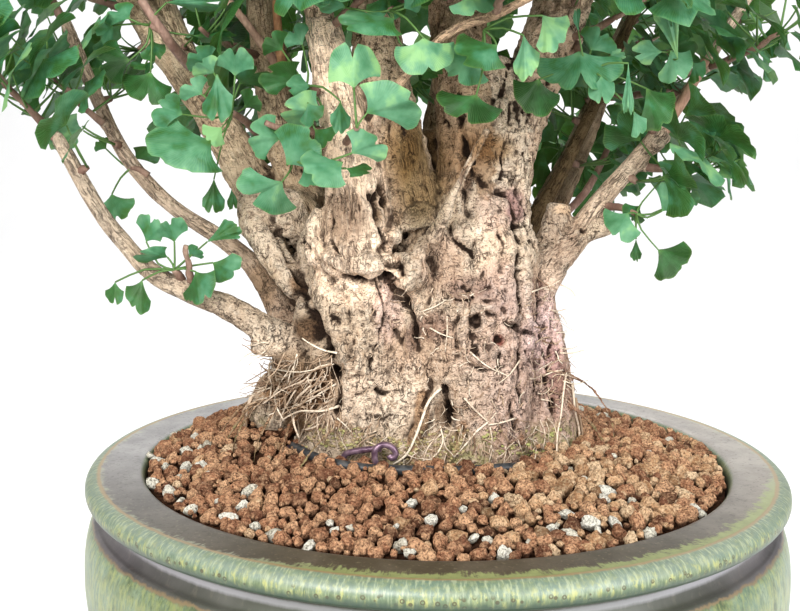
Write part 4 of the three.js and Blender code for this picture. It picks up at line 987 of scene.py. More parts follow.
def build_pot():
    """The drum pot: foot, drum, neck, lip and rim turned as one, with its holes cut."""
    runs = [
        [(0, -143.5), (90, -143.5), (178, -143.5)],
        [(178, -143.5), (179.4, -152), (181, -155)], [(181, -155), (199.5, -155)],
        [(199.5, -155), (201.2, -153.5), (203, -148.5), (206, -143.5), (216, -137.5), (228, -129),
         (237, -119), (244, -107), (248.8, -93), (251, -78), (251.3, -62), (250.2, -48), (247.8, -37.5),
         (244.6, -31), (243, -29.6)],
        [(243, -29.6), (239.8, -28.8), (237.8, -26), (236.8, -22.4), (237.0, -19.4), (239, -16.4),
         (240.8, -15.6)],
        [(240.8, -15.6), (243.6, -15.2), (246.8, -13.6), (248.9, -10.8), (249.4, -7.6), (248.6, -4.4),
         (246.4, -1.9), (243.2, -0.4), (240.6, 0.1)],
        [(240.6, 0.1), (239.4, -0.1), (236, -0.4), (228, -0.6), (219, -0.5), (215, -0.9), (212, -2.6),
         (210.3, -6), (209.5, -12)],
        [(209.5, -12), (208.4, -60), (207, -112), (203.5, -125), (190, -132)],
        [(190, -132), (90, -132), (0, -132)],
    ]
    rows, arc = [], []
    for run in runs:
        line = smooth_line([[r, 0, z, 1] for r, z in run], 1 if len(run) < 4 else 4)
        rows.extend([(r, z) for r, _, z, _ in line[(1 if rows else 0):]])
    rows = np.array(rows)
    rows[0, 0] = rows[-1, 0] = 0
    n = POT_SIDES
    angle = 2 * math.pi * np.arange(n) / n
    uneven = 1 + 0.0011 * np.sin(3 * angle + 1) + 0.0006 * np.sin(7 * angle)
    points = [(0, 0, rows[0, 1])]
    for r, z in rows[1:-1]:
        points.extend(np.stack(
            [r * uneven * np.cos(angle), r * uneven * np.sin(angle), np.full(n, z)], axis=-1))
    points.append((0, 0, rows[-1, 1]))
    end = len(points) - 1
    faces = [(0, 1 + (j + 1) % n, 1 + j) for j in range(n)] + ring_faces(len(rows) - 2, n, 1)
    faces += [(end, end - n + j, end - n + (j + 1) % n) for j in range(n)]
    pot = piece("pot_glazed", points, faces, "glaze", ("pot",), glaze_look())
    holes = [(*place, 13, 40) for place in DRAINS] + [(*place, 5, 20) for place in WIRE_HOLES]
    posts = [tube([[x, y, -160, r], [x, y, -120, r]], sides) for x, y, r, sides in holes]
    for wide, deep in ((17, 300), (300, 17)):
        box_points = np.array([(sx * wide, sy * deep, z) for z in (-170, -150) for sx, sy in
                               ((-1, -1), (1, -1), (1, 1), (-1, 1))], float)
        posts.append((box_points, [(3, 2, 1, 0), (4, 5, 6, 7), (0, 1, 5, 4), (1, 2, 6, 5),
                                   (2, 3, 7, 6), (3, 0, 4, 7)]))
    for post in posts:
        cutter = piece("cutter", *post, None)
        cut = pot.modifiers.new("cut", "BOOLEAN")
        cut.object, cut.solver, cut.operation = cutter, "EXACT", "DIFFERENCE"
        mesh = bpy.data.meshes.new_from_object(pot.evaluated_get(bpy.context.evaluated_depsgraph_get()))
        pot.modifiers.clear()
        pot.data = mesh
        bpy.data.objects.remove(cutter)
    mesh.set_sharp_from_angle(angle=math.radians(40))


def glaze_look():
    """Streaked green glaze over dark clay: which colour shows depends on the place on the profile."""
    look = Look("glaze")
    across, deep, up = (look.node("SeparateXYZ", {0: look.coords}, k) for k in range(3))
    height = look.times(look.minus(up, float(ORIGIN[2])), 1000.0)
    x = look.minus(across, float(ORIGIN[0]))
    y = look.minus(deep, float(ORIGIN[1]))
    reach = look.times(look.maths("SQRT", look.plus(look.times(x, x), look.times(y, y))), 1000.0)

    def between(value, low, high, stops=((0.0, 0.0), (1.0, 1.0))):
        """A ramp over a value's range."""
        return look.ramp(look.maths("DIVIDE", look.minus(value, float(low)), float(high - low)), stops)

    def ragged(value, noise, far):
        return look.plus(value, look.times(look.minus(noise, 0.5), float(far)))

    streak = look.noise(4.5, 4.0, look.stretch((1, 1, 0.25)), 0.62)
    strokes = look.noise(2.4, 4.0, look.stretch((1, 1, 0.28)), 0.66)
    front = between(look.minus(y, look.times(x, 0.45)), -0.160, -0.200)
    ahead = between(y, -0.02, -0.20)
    broad = look.noise(42, 4.0, look.stretch((1, 1, 0.6)), 0.6)
    blotch = look.noise(13, 5.0, rough=0.62)
    fine = look.noise(4.5, 4.0, rough=0.6)
    # The green glaze, as it lies on the lip and on the drum.
    green = look.ramp(blotch, [(0.36, (0.060, 0.090, 0.042)), (0.45, (0.13, 0.175, 0.078)),
                               (0.54, (0.15, 0.21, 0.125)),
                               (0.66, (0.25, 0.31, 0.20))])
    green = look.over(green, broad, [(0.44, 0.0), (0.60, 0.55)], (0.125, 0.205, 0.155))
    green = look.over(green, streak, [(0.50, 0.0), (0.62, 0.6)], (0.26, 0.29, 0.085))
    green = look.over(green, strokes, [(0.50, 0.0), (0.60, 0.6)], (0.30, 0.32, 0.12))
    green = look.over(green, strokes, [(0.36, 0.6), (0.45, 0.0)], (0.055, 0.085, 0.035))
    green = look.over(green, fine, [(0.60, 0.0), (0.72, 0.45)], (0.34, 0.26, 0.12))
    # Hairs that follow the profile over the lip and across the rim.
    turn = look.times(look.maths("ARCTAN2", y, x), 0.245)
    along_it = look.times(look.minus(height, reach), 0.00016)
    hair = look.noise(1.7, 3.0, look.node("CombineXYZ", {0: turn, 1: along_it}), 0.6)
    lip_down = ragged(ragged(height, streak, 5), fine, 3)
    lip = look.mix(between(lip_down, -10, -3, [(0.0, 0.0), (1.0, 0.6)]), green, (0.088, 0.150, 0.108))
    lip = look.mix(between(lip_down, -12, -4.5, [(0.0, 0.8), (0.5, 0.6), (1.0, 0.0)]), lip,
                   (0.085, 0.115, 0.048))
    # Painted highlight along the top of the lip at the front, stronger away from the middle.
    painted_lip_highlight = look.times(between(lip_down, -7.5, -0.5, [(0.0, 0.0), (0.45, 0.55), (0.8, 0.8), (1.0, 0.4)]),
                       between(look.maths("ABSOLUTE", x), 0.015, 0.085, [(0.0, 0.45), (1.0, 1.0)]))
    lip = look.mix(look.times(painted_lip_highlight, ahead, 0.45), lip, (0.27, 0.295, 0.275))
    lip = look.mix(look.times(look.ramp(hair, [(0.50, 0.0), (0.62, 0.75)]),
                              between(height, -10, -1, [(0.0, 0.2), (1.0, 1.0)])), lip, (0.35, 0.39, 0.25))
    lip = look.mix(look.times(look.ramp(hair, [(0.34, 0.7), (0.46, 0.0)]),
                              between(height, -14, -3, [(0.0, 1.0), (1.0, 0.15)])), lip, (0.055, 0.085, 0.04))
    lip = look.mix(look.times(look.ramp(strokes, [(0.53, 0.0), (0.62, 0.6)]),
                              between(height, -12, -1.5, [(0.0, 1.0), (0.6, 1.0), (1.0, 0.2)])),
                   lip, (0.36, 0.36, 0.11))
    bubble = look.node("TexVoronoi", {"Vector": look.coords, "Scale": 1000 / 4.4, "Randomness": 0.9}, 0)
    rings = look.ramp(bubble, [(0.12, 0.0), (0.17, 1.0), (0.27, 1.0), (0.33, 0.0)])
    rings = look.times(rings, between(height, -12, -4, [(0.0, 0.8), (0.3, 1.0), (0.65, 1.0), (1.0, 0.0)]))
    lip = look.mix(look.times(rings, look.ramp(look.noise(9, 2.0), [(0.30, 0.0), (0.42, 0.9)])), lip,
                   (0.058, 0.044, 0.013))
    lip = look.mix(between(lip_down, -12.5, -6.2, [(0.05, 0.93), (0.38, 0.72), (0.85, 0.0)]), lip,
                   (0.020, 0.045, 0.030))
    neck = look.ramp(broad, [(0.38, (0.052, 0.045, 0.047)), (0.62, (0.105, 0.094, 0.096))])
    neck = look.over(neck, streak, [(0.56, 0.0), (0.7, 0.35)], (0.17, 0.14, 0.12))
    # Painted reflection: a pale band along the neck at the front.
    painted_neck_reflection = look.times(between(ragged(height, streak, 1.5), -25, -18.5,
                               [(0.1, 0.0), (0.4, 1.0), (0.7, 1.0), (0.95, 0.0)]),
                       between(y, -0.12, -0.20, [(0.0, 0.0), (1.0, 0.75)]))
    neck = look.mix(painted_neck_reflection, neck, (0.50, 0.48, 0.53))
    drum_down = ragged(ragged(height, streak, 3.5), blotch, 5)
    rust = between(drum_down, -35, -29, [(0.36, 0.0), (0.48, 0.7), (0.56, 0.7), (0.72, 0.0)])
    wall = look.mix(between(drum_down, -33.5, -31), green, neck)
    # Painted shade on the front of the drum, under the lip.
    wall = look.mix(between(y, -0.15, -0.24, [(0.0, 0.0), (1.0, 0.85)]), wall,
                    look.mix(0.75, wall, (0.045, 0.060, 0.026)))
    wall = look.mix(rust, wall, (0.20, 0.13, 0.065))
    wall = look.mix(between(ragged(height, fine, 1.5), -17, -14.6, [(0.2, 0.0), (0.8, 1.0)]), wall, lip)
    # The rim: dark and bare, with glaze that has crept in from the lip. It is lighter grey away
    # from the front, partly its own colour and partly painted reflection, and lighter on the right,
    # partly painted light.
    cloud = look.ramp(look.noise(30, 5.0, rough=0.65), [(0.38, 0.0), (0.64, 1.0)])
    rim = look.mix(ahead, look.mix(cloud, (0.175, 0.165, 0.163), (0.285, 0.272, 0.265)),
                   look.mix(cloud, (0.046, 0.035, 0.018), (0.088, 0.070, 0.046)))
    rim = look.mix(between(x, 0.12, 0.22, [(0.0, 0.0), (1.0, 0.6)]), rim,
                   look.mix(cloud, (0.23, 0.19, 0.145), (0.35, 0.30, 0.235)))
    specks = look.ramp(look.noise(2.2, 3.0), [(0.60, 0.0), (0.70, 0.5)])
    rim = look.mix(specks, rim, look.mix(ahead, (0.34, 0.32, 0.28), (0.20, 0.17, 0.10)))
    rim = look.over(rim, look.noise(2.6, 3.0), [(0.34, 0.5), (0.42, 0.0)], (0.035, 0.028, 0.018))
    inward = ragged(ragged(ragged(reach, look.noise(9, 3.0, rough=0.6), 20),
                           look.noise(2.6, 4.0, rough=0.7), 5), hair, 14)
    inward = look.plus(inward, look.times(look.minus(front, 1.0), 5.5))
    rim = look.mix(between(inward, 231, 234, [(0.0, 0.0), (1.0, 0.8)]), rim,
                   look.mix(front, (0.30, 0.31, 0.22), look.mix(fine, (0.17, 0.20, 0.06), (0.36, 0.42, 0.16))))
    on_rim = between(reach, 239, 240.6, [(0.0, 1.0), (1.0, 0.0)])
    on_rim = look.times(on_rim, between(height, -3, -1.5))
    colour = look.mix(on_rim, wall, rim)
    tan = look.times(between(ragged(reach, fine, 2.5), 237, 245,
                             [(0.16, 0.0), (0.28, 1.0), (0.44, 1.0), (0.60, 0.0)]),
                     between(height, -3, -1.2))
    colour = look.mix(look.times(tan, 0.85), colour, (0.30, 0.20, 0.085))
    # Painted shadow on the inner wall, along the inner edge of the rim.
    inner = look.times(between(reach, 211, 214, [(0.0, 1.0), (1.0, 0.0)]),
                       between(height, -140, -0.9, [(0.9, 1.0), (1.0, 0.0)]))
    colour = look.mix(inner, colour, (0.050, 0.055, 0.040))
    raw = between(height, -146, -140, [(0.2, 1.0), (0.8, 0.0)])
    colour = look.mix(raw, colour, (0.30, 0.20, 0.13))
    rough = look.mix(on_rim, 0.42, look.mix(ahead, 0.40, 0.5))
    coat = look.minus(0.28, look.times(on_rim, ahead, 0.22))
    bump = look.plus(look.times(streak, 0.5), look.times(look.noise(1.8, 2.0), 0.2))
    return look.finish(colour, rough, bump, 0.3, 0.0008, Coat_Weight=coat, Coat_Roughness=0.40)


# ---------------------------------------------------------------- soil
def soil_height(x, y):
    reach = np.hypot(x, y)
    heap = 10 * np.exp(-((x + 125) ** 2 + (y - 80) ** 2) / (2 * 52 ** 2))
    heap = heap + 9 * np.exp(-((x + 124) ** 2 + (y - 8) ** 2) / (2 * 22 ** 2))
    uneven = 1.1 * np.sin(x / 12 + 1.4 * np.sin(y / 17)) * np.sin(y / 14 + 1.2 * np.sin(x / 19))
    return -2.6 + 10.6 * smooth((205 - reach) / 95) + (heap + uneven) * smooth((226 - reach) / 40)


def grit_shapes(count, rings, sides):
    """Crumb shapes: a ball cut back by a few planes, then roughened."""
    shapes = []
    points, faces = ball(rings, sides)
    for k in range(count):
        reach = np.ones(len(points))
        for j in range(9):
            z, turn = wobble(k, j, 53), 2 * math.pi * chance(k, j, 54)
            flat = math.sqrt(1 - z * z)
            facing = points @ np.array([flat * math.cos(turn), flat * math.sin(turn), z])
            far = 0.60 + 0.32 * chance(k, j, 55)
            reach = np.minimum(reach, np.where(facing > 0.05, far / np.maximum(facing, 0.05), 9))
        swell = reach * (1.15 + 0.18 * grain(points, 0.9, 50 + k) + 0.27 * grain(points, 0.42, 90 + k))
        stretch = np.array([1 + 0.26 * wobble(k, 1, 51), 1 + 0.26 * wobble(k, 2, 51),
                            0.88 + 0.16 * wobble(k, 3, 51)])
        shapes.append(points * swell[:, None] * stretch)
    return shapes, faces


# Granules by size: radius from, to, tries at finding room, rings and sides of a granule.
GRIT_MODELS, SOIL_EDGE = 14, 208.4
GRIT_SIZES = [(4.4, 6.0, 2600, 7, 12), (3.2, 4.4, 9000, 6, 10), (1.8, 2.9, 17000, 4, 7)]
# Granules that the photograph shows: picture x, picture y, radius, kind but for pumice, shade.
PUMICE = [
    (174, 435, 3.6, 0.4), (195, 436, 4.2, 0.7), (207, 444, 4.0, 0.1), (187, 450, 4.6, 0.6),
    (200, 448, 2.6, 0.5), (151, 456, 3.0, 0.5), (158, 459, 4.6, 0.6), (166, 466, 4.6, 0.6),
    (186, 467, 4.8, 0.9), (201, 467, 4.4, 0.9), (208, 475, 3.8, 0.5), (179, 476, 2.6, 0.4),
    (154, 484, 4.4, 0.7), (170, 493, 4.0, 0.6), (181, 500, 2.4, 0.6), (191, 511, 3.8, 0.8),
    (217, 501, 1.9, 0.9), (242, 506, 3.6, 1.0), (229, 518, 4.6, 1.0), (256, 527, 3.2, 0.7),
    (309, 544, 4.9, 0.9), (330, 524, 2.8, 0.9), (334, 531, 2.4, 1.0), (351, 528, 2.6, 0.6),
    (412, 502, 3.6, 1.0), (430, 520, 4.4, 1.0), (395, 528, 1.9, 1.0), (463, 509, 2.6, 1.0),
    (494, 498, 3.6, 1.0), (474, 537, 2.8, 0.8), (489, 539, 3.0, 0.7), (503, 551, 4.8, 0.9),
    (530, 542, 2.6, 0.4), (409, 553, 3.2, 0.7), (551, 527, 3.6, 0.8), (567, 513, 4.6, 1.0),
    (569, 533, 4.4, 0.5), (589, 523, 4.2, 1.0), (598, 529, 3.0, 0.9), (616, 521, 3.8, 1.0),
    (650, 532, 4.4, 0.6), (632, 501, 3.0, 0.4), (695, 507, 3.4, 0.8), (702, 512, 3.0, 0.8),
    (669, 442, 4.6, 0.7), (671, 436, 2.8, 0.6),
]
MARKED = [(px, py, radius, "pale", shade) for px, py, radius, shade in PUMICE] + [
    (686, 447, 4.2, "red", 0.0), (659, 523, 5.2, "red", 0.06), (433, 500, 4.6, "red", 0.03),
    (407, 498, 3.4, "red", 0.0), (476, 507, 4.8, "red", 0.08), (384, 529, 6.6, "tan", 0.05),
    (427, 530, 5.0, "red", 0.1), (557, 536, 4.6, "red", 0.09), (600, 504, 3.0, "red", 0.02),
    (398, 488, 6.0, "red", 0.7), (300, 500, 4.6, "red", 0.1), (245, 462, 5.0, "red", 0.12),
    (650, 505, 5.6, "tan", 0.45), (684, 505, 6.2, "tan", 0.5),
]


def on_soil(px, py):
    """The place on the soil that the picture shows there."""
    way, place = sight(px, py), CAMERA_AT
    for _ in range(5):
        place = place + way * ((float(soil_height(place[0], place[1])) - place[2]) / way[2])
    return place


def pack_grit():
    """Granules side by side, the largest first: x, y, radius, size class, and what MARKED gives for them."""
    crowd, placed = {}, []

    def settle(x, y, radius, level, marked):
        i, j = int(x // 12), int(y // 12)
        for a in (i - 1, i, i + 1):
            for b in (j - 1, j, j + 1):
                for p, q, r in crowd.get((a, b), ()):
                    if math.hypot(x - p, y - q) < 0.88 * (radius + r):
                        return
        crowd.setdefault((i, j), []).append((x, y, radius))
        placed.append((x, y, radius, level, marked))

    for px, py, radius, kind, shade in MARKED:
        x, y, _ = on_soil(px, py)
        settle(x, y, radius, 0 if radius > 3.4 else 1, ("grit_" + kind, shade))
    for level, (low, high, tries, _, _) in enumerate(GRIT_SIZES):
        for k in range(tries):
            turn, reach = 2 * math.pi * chance(k, level, 61), (SOIL_EDGE - low) * math.sqrt(chance(k, level, 62))
            settle(reach * math.cos(turn), reach * math.sin(turn), low + (high - low) * chance(k, level, 63),
                   level, None)
    return placed


# Where the front's granules begin, below the roots that lie bare: picture x, picture y.
BARE_EDGE = ((296, 300, 320, 340, 350, 358, 380, 389, 395, 414, 420, 446, 474, 486, 517, 531, 560, 570),
             (0, 449, 461, 462, 458, 462, 462, 465, 474, 475, 467, 461, 464, 470, 468, 452, 442, 0))


def within(tree, place, margin):
    """Whether a place is inside a closed mesh, or nearer to its skin than the margin."""
    if tree.find_nearest(place)[3] < margin:
        return True
    hit = tree.ray_cast(Vector(place), Vector((0, 0, 1)))
    return hit[0] is not None and hit[1].z > 0


def build_bed():
    """The soil under the granules: one closed body inside the pot, near black as painted shade in the gaps."""
    rings = [0.001] + list(np.linspace(10, 208, 34))
    sides = 120
    angle = 2 * math.pi * np.arange(sides) / sides
    points = []
    for r in rings:
        x, y = r * np.cos(angle), r * np.sin(angle)
        z = soil_height(x, y) - 5.2 + 1.0 * grain(np.stack([x, y, 0 * x], axis=-1), 9, 75)
        points.append(np.stack([x, y, z], axis=-1))
    for r, z in ((207.2, -60), (206, -112), (202, -124), (189, -131.4), (0.001, -131.4)):
        points.append(np.stack([r * np.cos(angle), r * np.sin(angle), np.full(sides, float(z))], axis=-1))
    faces = [(a, d, c, b) for a, b, c, d in ring_faces(len(points), sides)]
    look = Look("soil_bed")
    # Near black: painted shade in the gaps between the granules.
    crumb = look.noise(3.0, 4.0, rough=0.7)
    colour = look.ramp(crumb, [(0.3, (0.016, 0.008, 0.005)), (0.5, (0.05, 0.022, 0.012)),
                               (0.7, (0.11, 0.05, 0.026))])
    piece("soil_bed", np.vstack(points), faces, "soil_grit", ("soil",), look.finish(
        colour, 0.95, crumb, 1.0, 0.002, Specular_IOR_Level=0.05))


def build_soil(trunk_tree):
    shapes = [grit_shapes(GRIT_MODELS, rings, sides) for *_, rings, sides in GRIT_SIZES]
    kinds = {"grit_red": [], "grit_tan": [], "grit_pale": []}
    for n, (x, y, size, level, marked) in enumerate(pack_grit()):
        top = float(soil_height(x, y))
        if within(trunk_tree, (x, y, top + 1), 0.35 * size):
            continue
        px, py = to_picture(np.array([x, y, top]))
        if y < 0 and py < np.interp(px, *BARE_EDGE) + 3 * wobble(n, 1, 74):
            continue
        # More tan granules towards the front right: partly the soil's own tan grains and partly a painted pool
        # of light.
        light = math.exp(-((px - 602) / 96) ** 2 - ((py - 488) / 52) ** 2) if y < 30 else 0
        kind = "grit_tan" if chance(n, 66) < 0.07 + 0.75 * light else "grit_red"
        shade = chance(n, 72)
        if chance(n, 65) > 0.985:
            kind = "grit_pale"
        if marked:
            kind, shade = marked
        a, b, c = (2 * math.pi * chance(n, 67 + k) for k in range(3))
        turn = np.array((Matrix.Rotation(a, 3, "Z") @ Matrix.Rotation(b, 3, "X") @ Matrix.Rotation(c, 3, "Y")))
        models, faces = shapes[level]
        model = models[int(GRIT_MODELS * chance(n, 70)) % GRIT_MODELS]
        if kind == "grit_pale":
            model = model * (1.25, 0.85, 0.85)
        turned = model @ turn.T
        z = top + 0.7 - 0.4 * size + 1.1 * wobble(n, 1, 71)
        kinds[kind].append((turned * size + (x, y, z), faces, shade, turned[:, 2]))
    for name, grits in kinds.items():
        points, all_faces = join([grit[:2] for grit in grits])
        obj = piece(name, points, all_faces, "soil_grit", ("soil",), grit_look(name))
        obj.data.shade_flat()
        paint(obj, "each", np.concatenate([np.full(len(grit[0]), grit[2]) for grit in grits]))
        # Height within each granule, which paints shade on its lower side.
        paint(obj, "lift", np.concatenate([grit[3] for grit in grits]))


# Dark, middle and light, and how much painted shade lies in the gaps between the clods.
GRIT_COLOURS = {
    "grit_red": ((0.23, 0.096, 0.054), (0.57, 0.275, 0.148), (0.86, 0.52, 0.30), 0.42),
    "grit_tan": ((0.52, 0.28, 0.14), (0.82, 0.49, 0.27), (0.96, 0.70, 0.45), 0.3),
    "grit_pale": ((0.56, 0.49, 0.37), (0.88, 0.82, 0.67), (0.97, 0.93, 0.81), 0.0),
}


def shaded(colour, share):
    return tuple(min(1.0, share * c) for c in colour)


def grit_look(name):
    look = Look(name)
    dark, middle, light, between = GRIT_COLOURS[name]
    each = look.stored("each")
    colour = look.ramp(each, [(0.0, shaded(dark, 0.35)), (0.10, dark), (0.5, middle), (1.0, light)])
    crumb = look.noise(1.4, 4.0, rough=0.72)
    colour = look.over(colour, look.noise(5, 3.0), [(0.45, 0.0), (0.65, 0.5)], light)
    colour = look.over(colour, crumb, [(0.38, 0.9), (0.50, 0.0)], shaded(dark, 0.45))
    colour = look.over(colour, crumb, [(0.54, 0.0), (0.68, 0.5)], shaded(light, 1.25))
    # Painted shade on the lower side of each granule.
    lift = look.plus(look.stored("lift"), look.times(look.minus(crumb, 0.5), 0.5))
    colour = look.mix(look.ramp(look.plus(look.times(lift, 0.5), 0.5), [(0.30, 0.92), (0.62, 0.0)]),
                      colour, shaded(dark, 0.22))
    # Clods with painted shade in the gaps between them.
    drift = look.node("TexNoise", {"Vector": look.coords, "Scale": 500.0}, "Color")
    bent = look.moved(look.coords, drift, 0.0016)
    clod = look.node("TexVoronoi", {"Vector": bent, "Scale": 1000 / 2.3}, 0)
    colour = look.over(colour, clod, [(0.50, 0.0), (0.80, between)], shaded(dark, 0.35))
    height = look.plus(crumb, look.times(look.noise(0.7, 2.0), 0.5))
    height = look.minus(height, look.times(clod, 1.0))
    return look.finish(colour, 0.95, height, 1.0, 0.0022, Specular_IOR_Level=0.08)


# ---------------------------------------------------------------- fine roots and moss
# Roots that the photograph shows: [thickness at the start and end in pixels, [place, ...]].
FINE_ROOTS = [
    [3.4, 2.0, [(441, 388), (429, 401), (422, 419), (415, 438), (406, 455), (393, 464)]],
    [2.2, 1.2, [(337, 353), (323, 350), (309, 343), (302, 338)]],
    [2.0, 1.2, [(332, 364), (316, 368), (304, 380), (282, 390), (263, 404)]],
    [1.6, 1.0, [(272, 369), (301, 372), (334, 364)]],
    [2.0, 1.4, [(336, 384), (322, 392), (312, 399), (301, 404)]],
    [3.0, 1.8, [(311, 386), (297, 399), (294, 412), (294, 424), (299, 438)]],
    [2.8, 1.4, [(339, 406), (322, 411), (302, 411), (291, 415), (282, 420)]],
    [2.0, 1.2, [(322, 423), (312, 428), (302, 430)]], [1.8, 1.2, [(320, 377), (314, 392), (309, 405)]],
    [2.0, 1.2, [(297, 388), (287, 404), (281, 418), (280, 427)]],
    [2.0, 1.2, [(274, 393), (277, 408), (284, 421)]],
    [1.2, 0.7, [(268, 355), (257, 358), (250, 364), (245, 374)]],
    [1.2, 0.7, [(262, 370), (249, 380), (239, 388)]], [1.1, 0.7, [(264, 380), (250, 385), (240, 390)]],
    [1.4, 0.8, [(270, 388), (258, 392), (247, 397)]], [1.3, 0.8, [(272, 398), (260, 399), (250, 404)]],
    [1.6, 1.0, [(330, 415), (327, 430), (331, 443)]], [1.6, 1.0, [(337, 418), (345, 425), (353, 434)]],
    [1.8, 0.9, [(532, 292), (542, 288), (552, 285), (560, 280)]],
    [1.3, 0.8, [(551, 310), (558, 311), (566, 309)]], [1.2, 0.7, [(552, 310), (562, 316), (567, 324)]],
    [1.2, 0.7, [(556, 333), (567, 332)]], [1.5, 0.9, [(560, 348), (571, 349)]],
    [2.0, 1.0, [(560, 353), (572, 353), (584, 350)]], [1.5, 0.8, [(563, 381), (576, 384), (588, 380)]],
    [1.2, 0.8, [(566, 384), (574, 391)]], [1.8, 1.2, [(543, 376), (553, 372), (563, 370)]],
    [2.2, 1.4, [(488, 422), (476, 432), (466, 444), (454, 457)]],
    [1.8, 1.4, [(516, 418), (500, 423), (488, 425)]], [1.6, 1.2, [(490, 427), (492, 440), (489, 453)]],
    [2.2, 1.4, [(440, 426), (443, 440), (438, 452), (430, 460)]],
    [1.8, 1.4, [(464, 398), (476, 411), (488, 422)]],
    [1.3, 0.9, [(547, 418), (553, 424), (556, 432), (557, 440)]],
    [1.2, 0.8, [(546, 422), (549, 431), (548, 441)]], [1.6, 1.0, [(540, 420), (545, 434), (543, 450)]],
    [2.0, 1.2, [(441, 434), (429, 446), (424, 458), (424, 468)]],
    [1.8, 1.2, [(430, 328), (441, 334), (453, 338)]], [1.4, 1.0, [(447, 316), (447, 332), (445, 352)]],
    [1.6, 1.2, [(420, 312), (434, 307), (446, 300)]], [1.6, 1.0, [(366, 441), (380, 447), (392, 452)]],
    [1.8, 1.2, [(470, 352), (487, 366), (508, 376)]], [1.6, 1.0, [(520, 360), (510, 374), (498, 384)]],
]
# Where more grow: [x0, y0, x1, y1, how many, pixels long, heading in degrees, spread, lift].
ROOT_ZONES = [
    [262, 352, 336, 408, 120, 26, 128, 42, 3.5], [256, 350, 300, 400, 46, 18, 150, 55, 3.0],
    [300, 404, 345, 440, 46, 20, 110, 50, 2.5], [345, 424, 480, 460, 90, 18, 100, 60, 2.0],
    [480, 424, 562, 452, 60, 18, 85, 45, 2.0], [330, 290, 470, 440, 90, 9, 90, 180, 1.0],
    [430, 290, 565, 430, 120, 10, 60, 120, 1.2], [530, 276, 572, 404, 60, 14, 30, 60, 2.0],
    [395, 240, 440, 300, 24, 8, 120, 120, 1.0], [252, 340, 275, 400, 14, 16, 165, 30, 1.0],
]


def root_on(tree, places, thick, lift):
    """A root whose places in the picture are given, lying on the trunk where the trunk is behind it."""
    line = smooth_line([[px, py, 0, w] for (px, py), w in zip(places, np.linspace(*thick, len(places)))], 4)
    depth, last = [], None
    for px, py, _, _ in line:
        hit = tree.ray_cast(Vector(CAMERA_AT), Vector(sight(px, py)))
        last = hit[0].y if hit[0] is not None and (last is None or hit[0].y < last + 30) else last
        depth.append(last)
    known = [d for d in depth if d is not None]
    if not known:
        return None
    depth = np.array([known[0] if d is None else d for d in depth])
    beside = np.pad(depth, 1, "edge")
    depth = np.minimum(np.minimum(beside[:-2], beside[2:]), depth)
    beside = np.pad(depth, 1, "edge")
    depth = 0.5 * depth + 0.25 * (beside[:-2] + beside[2:])
    return [[*from_picture(px, py, y - lift), 0.5 * w * (y + CAMERA_FAR) / FOCAL_PX]
            for (px, py, _, w), y in zip(line, depth)]


def build_roots(trunk_tree):
    parts, each = [], []

    def add(stops, sides, seed, shade, steps=1):
        if stops:
            points, faces = tube(stops, sides, steps, 0.12, seed)
            parts.append((points, faces))
            each.append(np.full(len(points), shade))

    for k, (a, b, places) in enumerate(FINE_ROOTS):
        add(root_on(trunk_tree, places, (a, b), 0.5 * a * 0.7 + 0.3), 7, k, 0.75 + 0.25 * chance(k, 91))
    number = 0
    for x0, y0, x1, y1, count, long, heading, spread, lift in ROOT_ZONES:
        for _ in range(count):
            number += 1
            px, py = x0 + (x1 - x0) * chance(number, 92), y0 + (y1 - y0) * chance(number, 93)
            way = math.radians(heading + spread * wobble(number, 1, 94))
            step = long * (0.5 + 0.9 * chance(number, 95)) / 3
            places = [(px, py)]
            for _ in range(3):
                way += 0.55 * wobble(number, len(places), 96)
                px, py = px + step * math.cos(way), py + step * math.sin(way)
                places.append((px, py))
            w = 0.7 + 1.1 * chance(number, 97) ** 2
            add(root_on(trunk_tree, places, (w, 0.6 * w), 0.3 + lift * chance(number, 98)), 5, number,
                chance(number, 99))
    middle = np.array([-5, 18, 0])
    for k in range(150):
        # The sides and the back, which the photograph doesn't show.
        turn = 2 * math.pi * chance(k, 1, 101)
        if math.sin(turn) < -0.35:
            continue
        z, stops, slope = 6 + 58 * chance(k, 2, 101) ** 1.4, [], 7 + 7 * chance(k, 3, 101)
        drift = 0.06 * wobble(k, 4, 101)
        w, reach = 0.5 + 0.7 * chance(k, 5, 101), None
        for j in range(8):
            way = np.array([math.cos(turn), math.sin(turn), 0])
            start = middle + way * 230 + UP * max(z, 2)
            hit = trunk_tree.ray_cast(Vector(start), Vector(-way))
            if hit[0] is None:
                break
            far = math.hypot(hit[0].x - middle[0], hit[0].y - middle[1]) + 0.5 + w
            reach = far if reach is None else max(far, reach - 1) + 1.2 * j * chance(k, 6, 101)
            stops.append([*(middle + way * reach + UP * z), w * (1 - 0.06 * j)])
            if z < -2:
                break
            z -= slope
            turn += drift + 0.05 * wobble(k, j, 102)
        if len(stops) > 2:
            add(stops, 6, k, chance(k, 7, 101), 3)
    points, faces = join(parts)
    look = Look("root")
    colour = look.ramp(look.stored("each"), [
        (0.0, (0.20, 0.12, 0.075)), (0.4, (0.46, 0.33, 0.22)), (0.7, (0.62, 0.49, 0.37)),
        (1.0, (0.76, 0.66, 0.52))])
    spots = look.noise(2.5, 3.0)
    colour = look.over(colour, spots, [(0.36, 0.6), (0.5, 0.0)], (0.22, 0.14, 0.09))
    obj = piece("fine_roots", points, faces, "bark", ("trunk",), look.finish(
        colour, 0.85, spots, 0.5, 0.0006, Specular_IOR_Level=0.15))
    paint(obj, "each", np.concatenate(each))


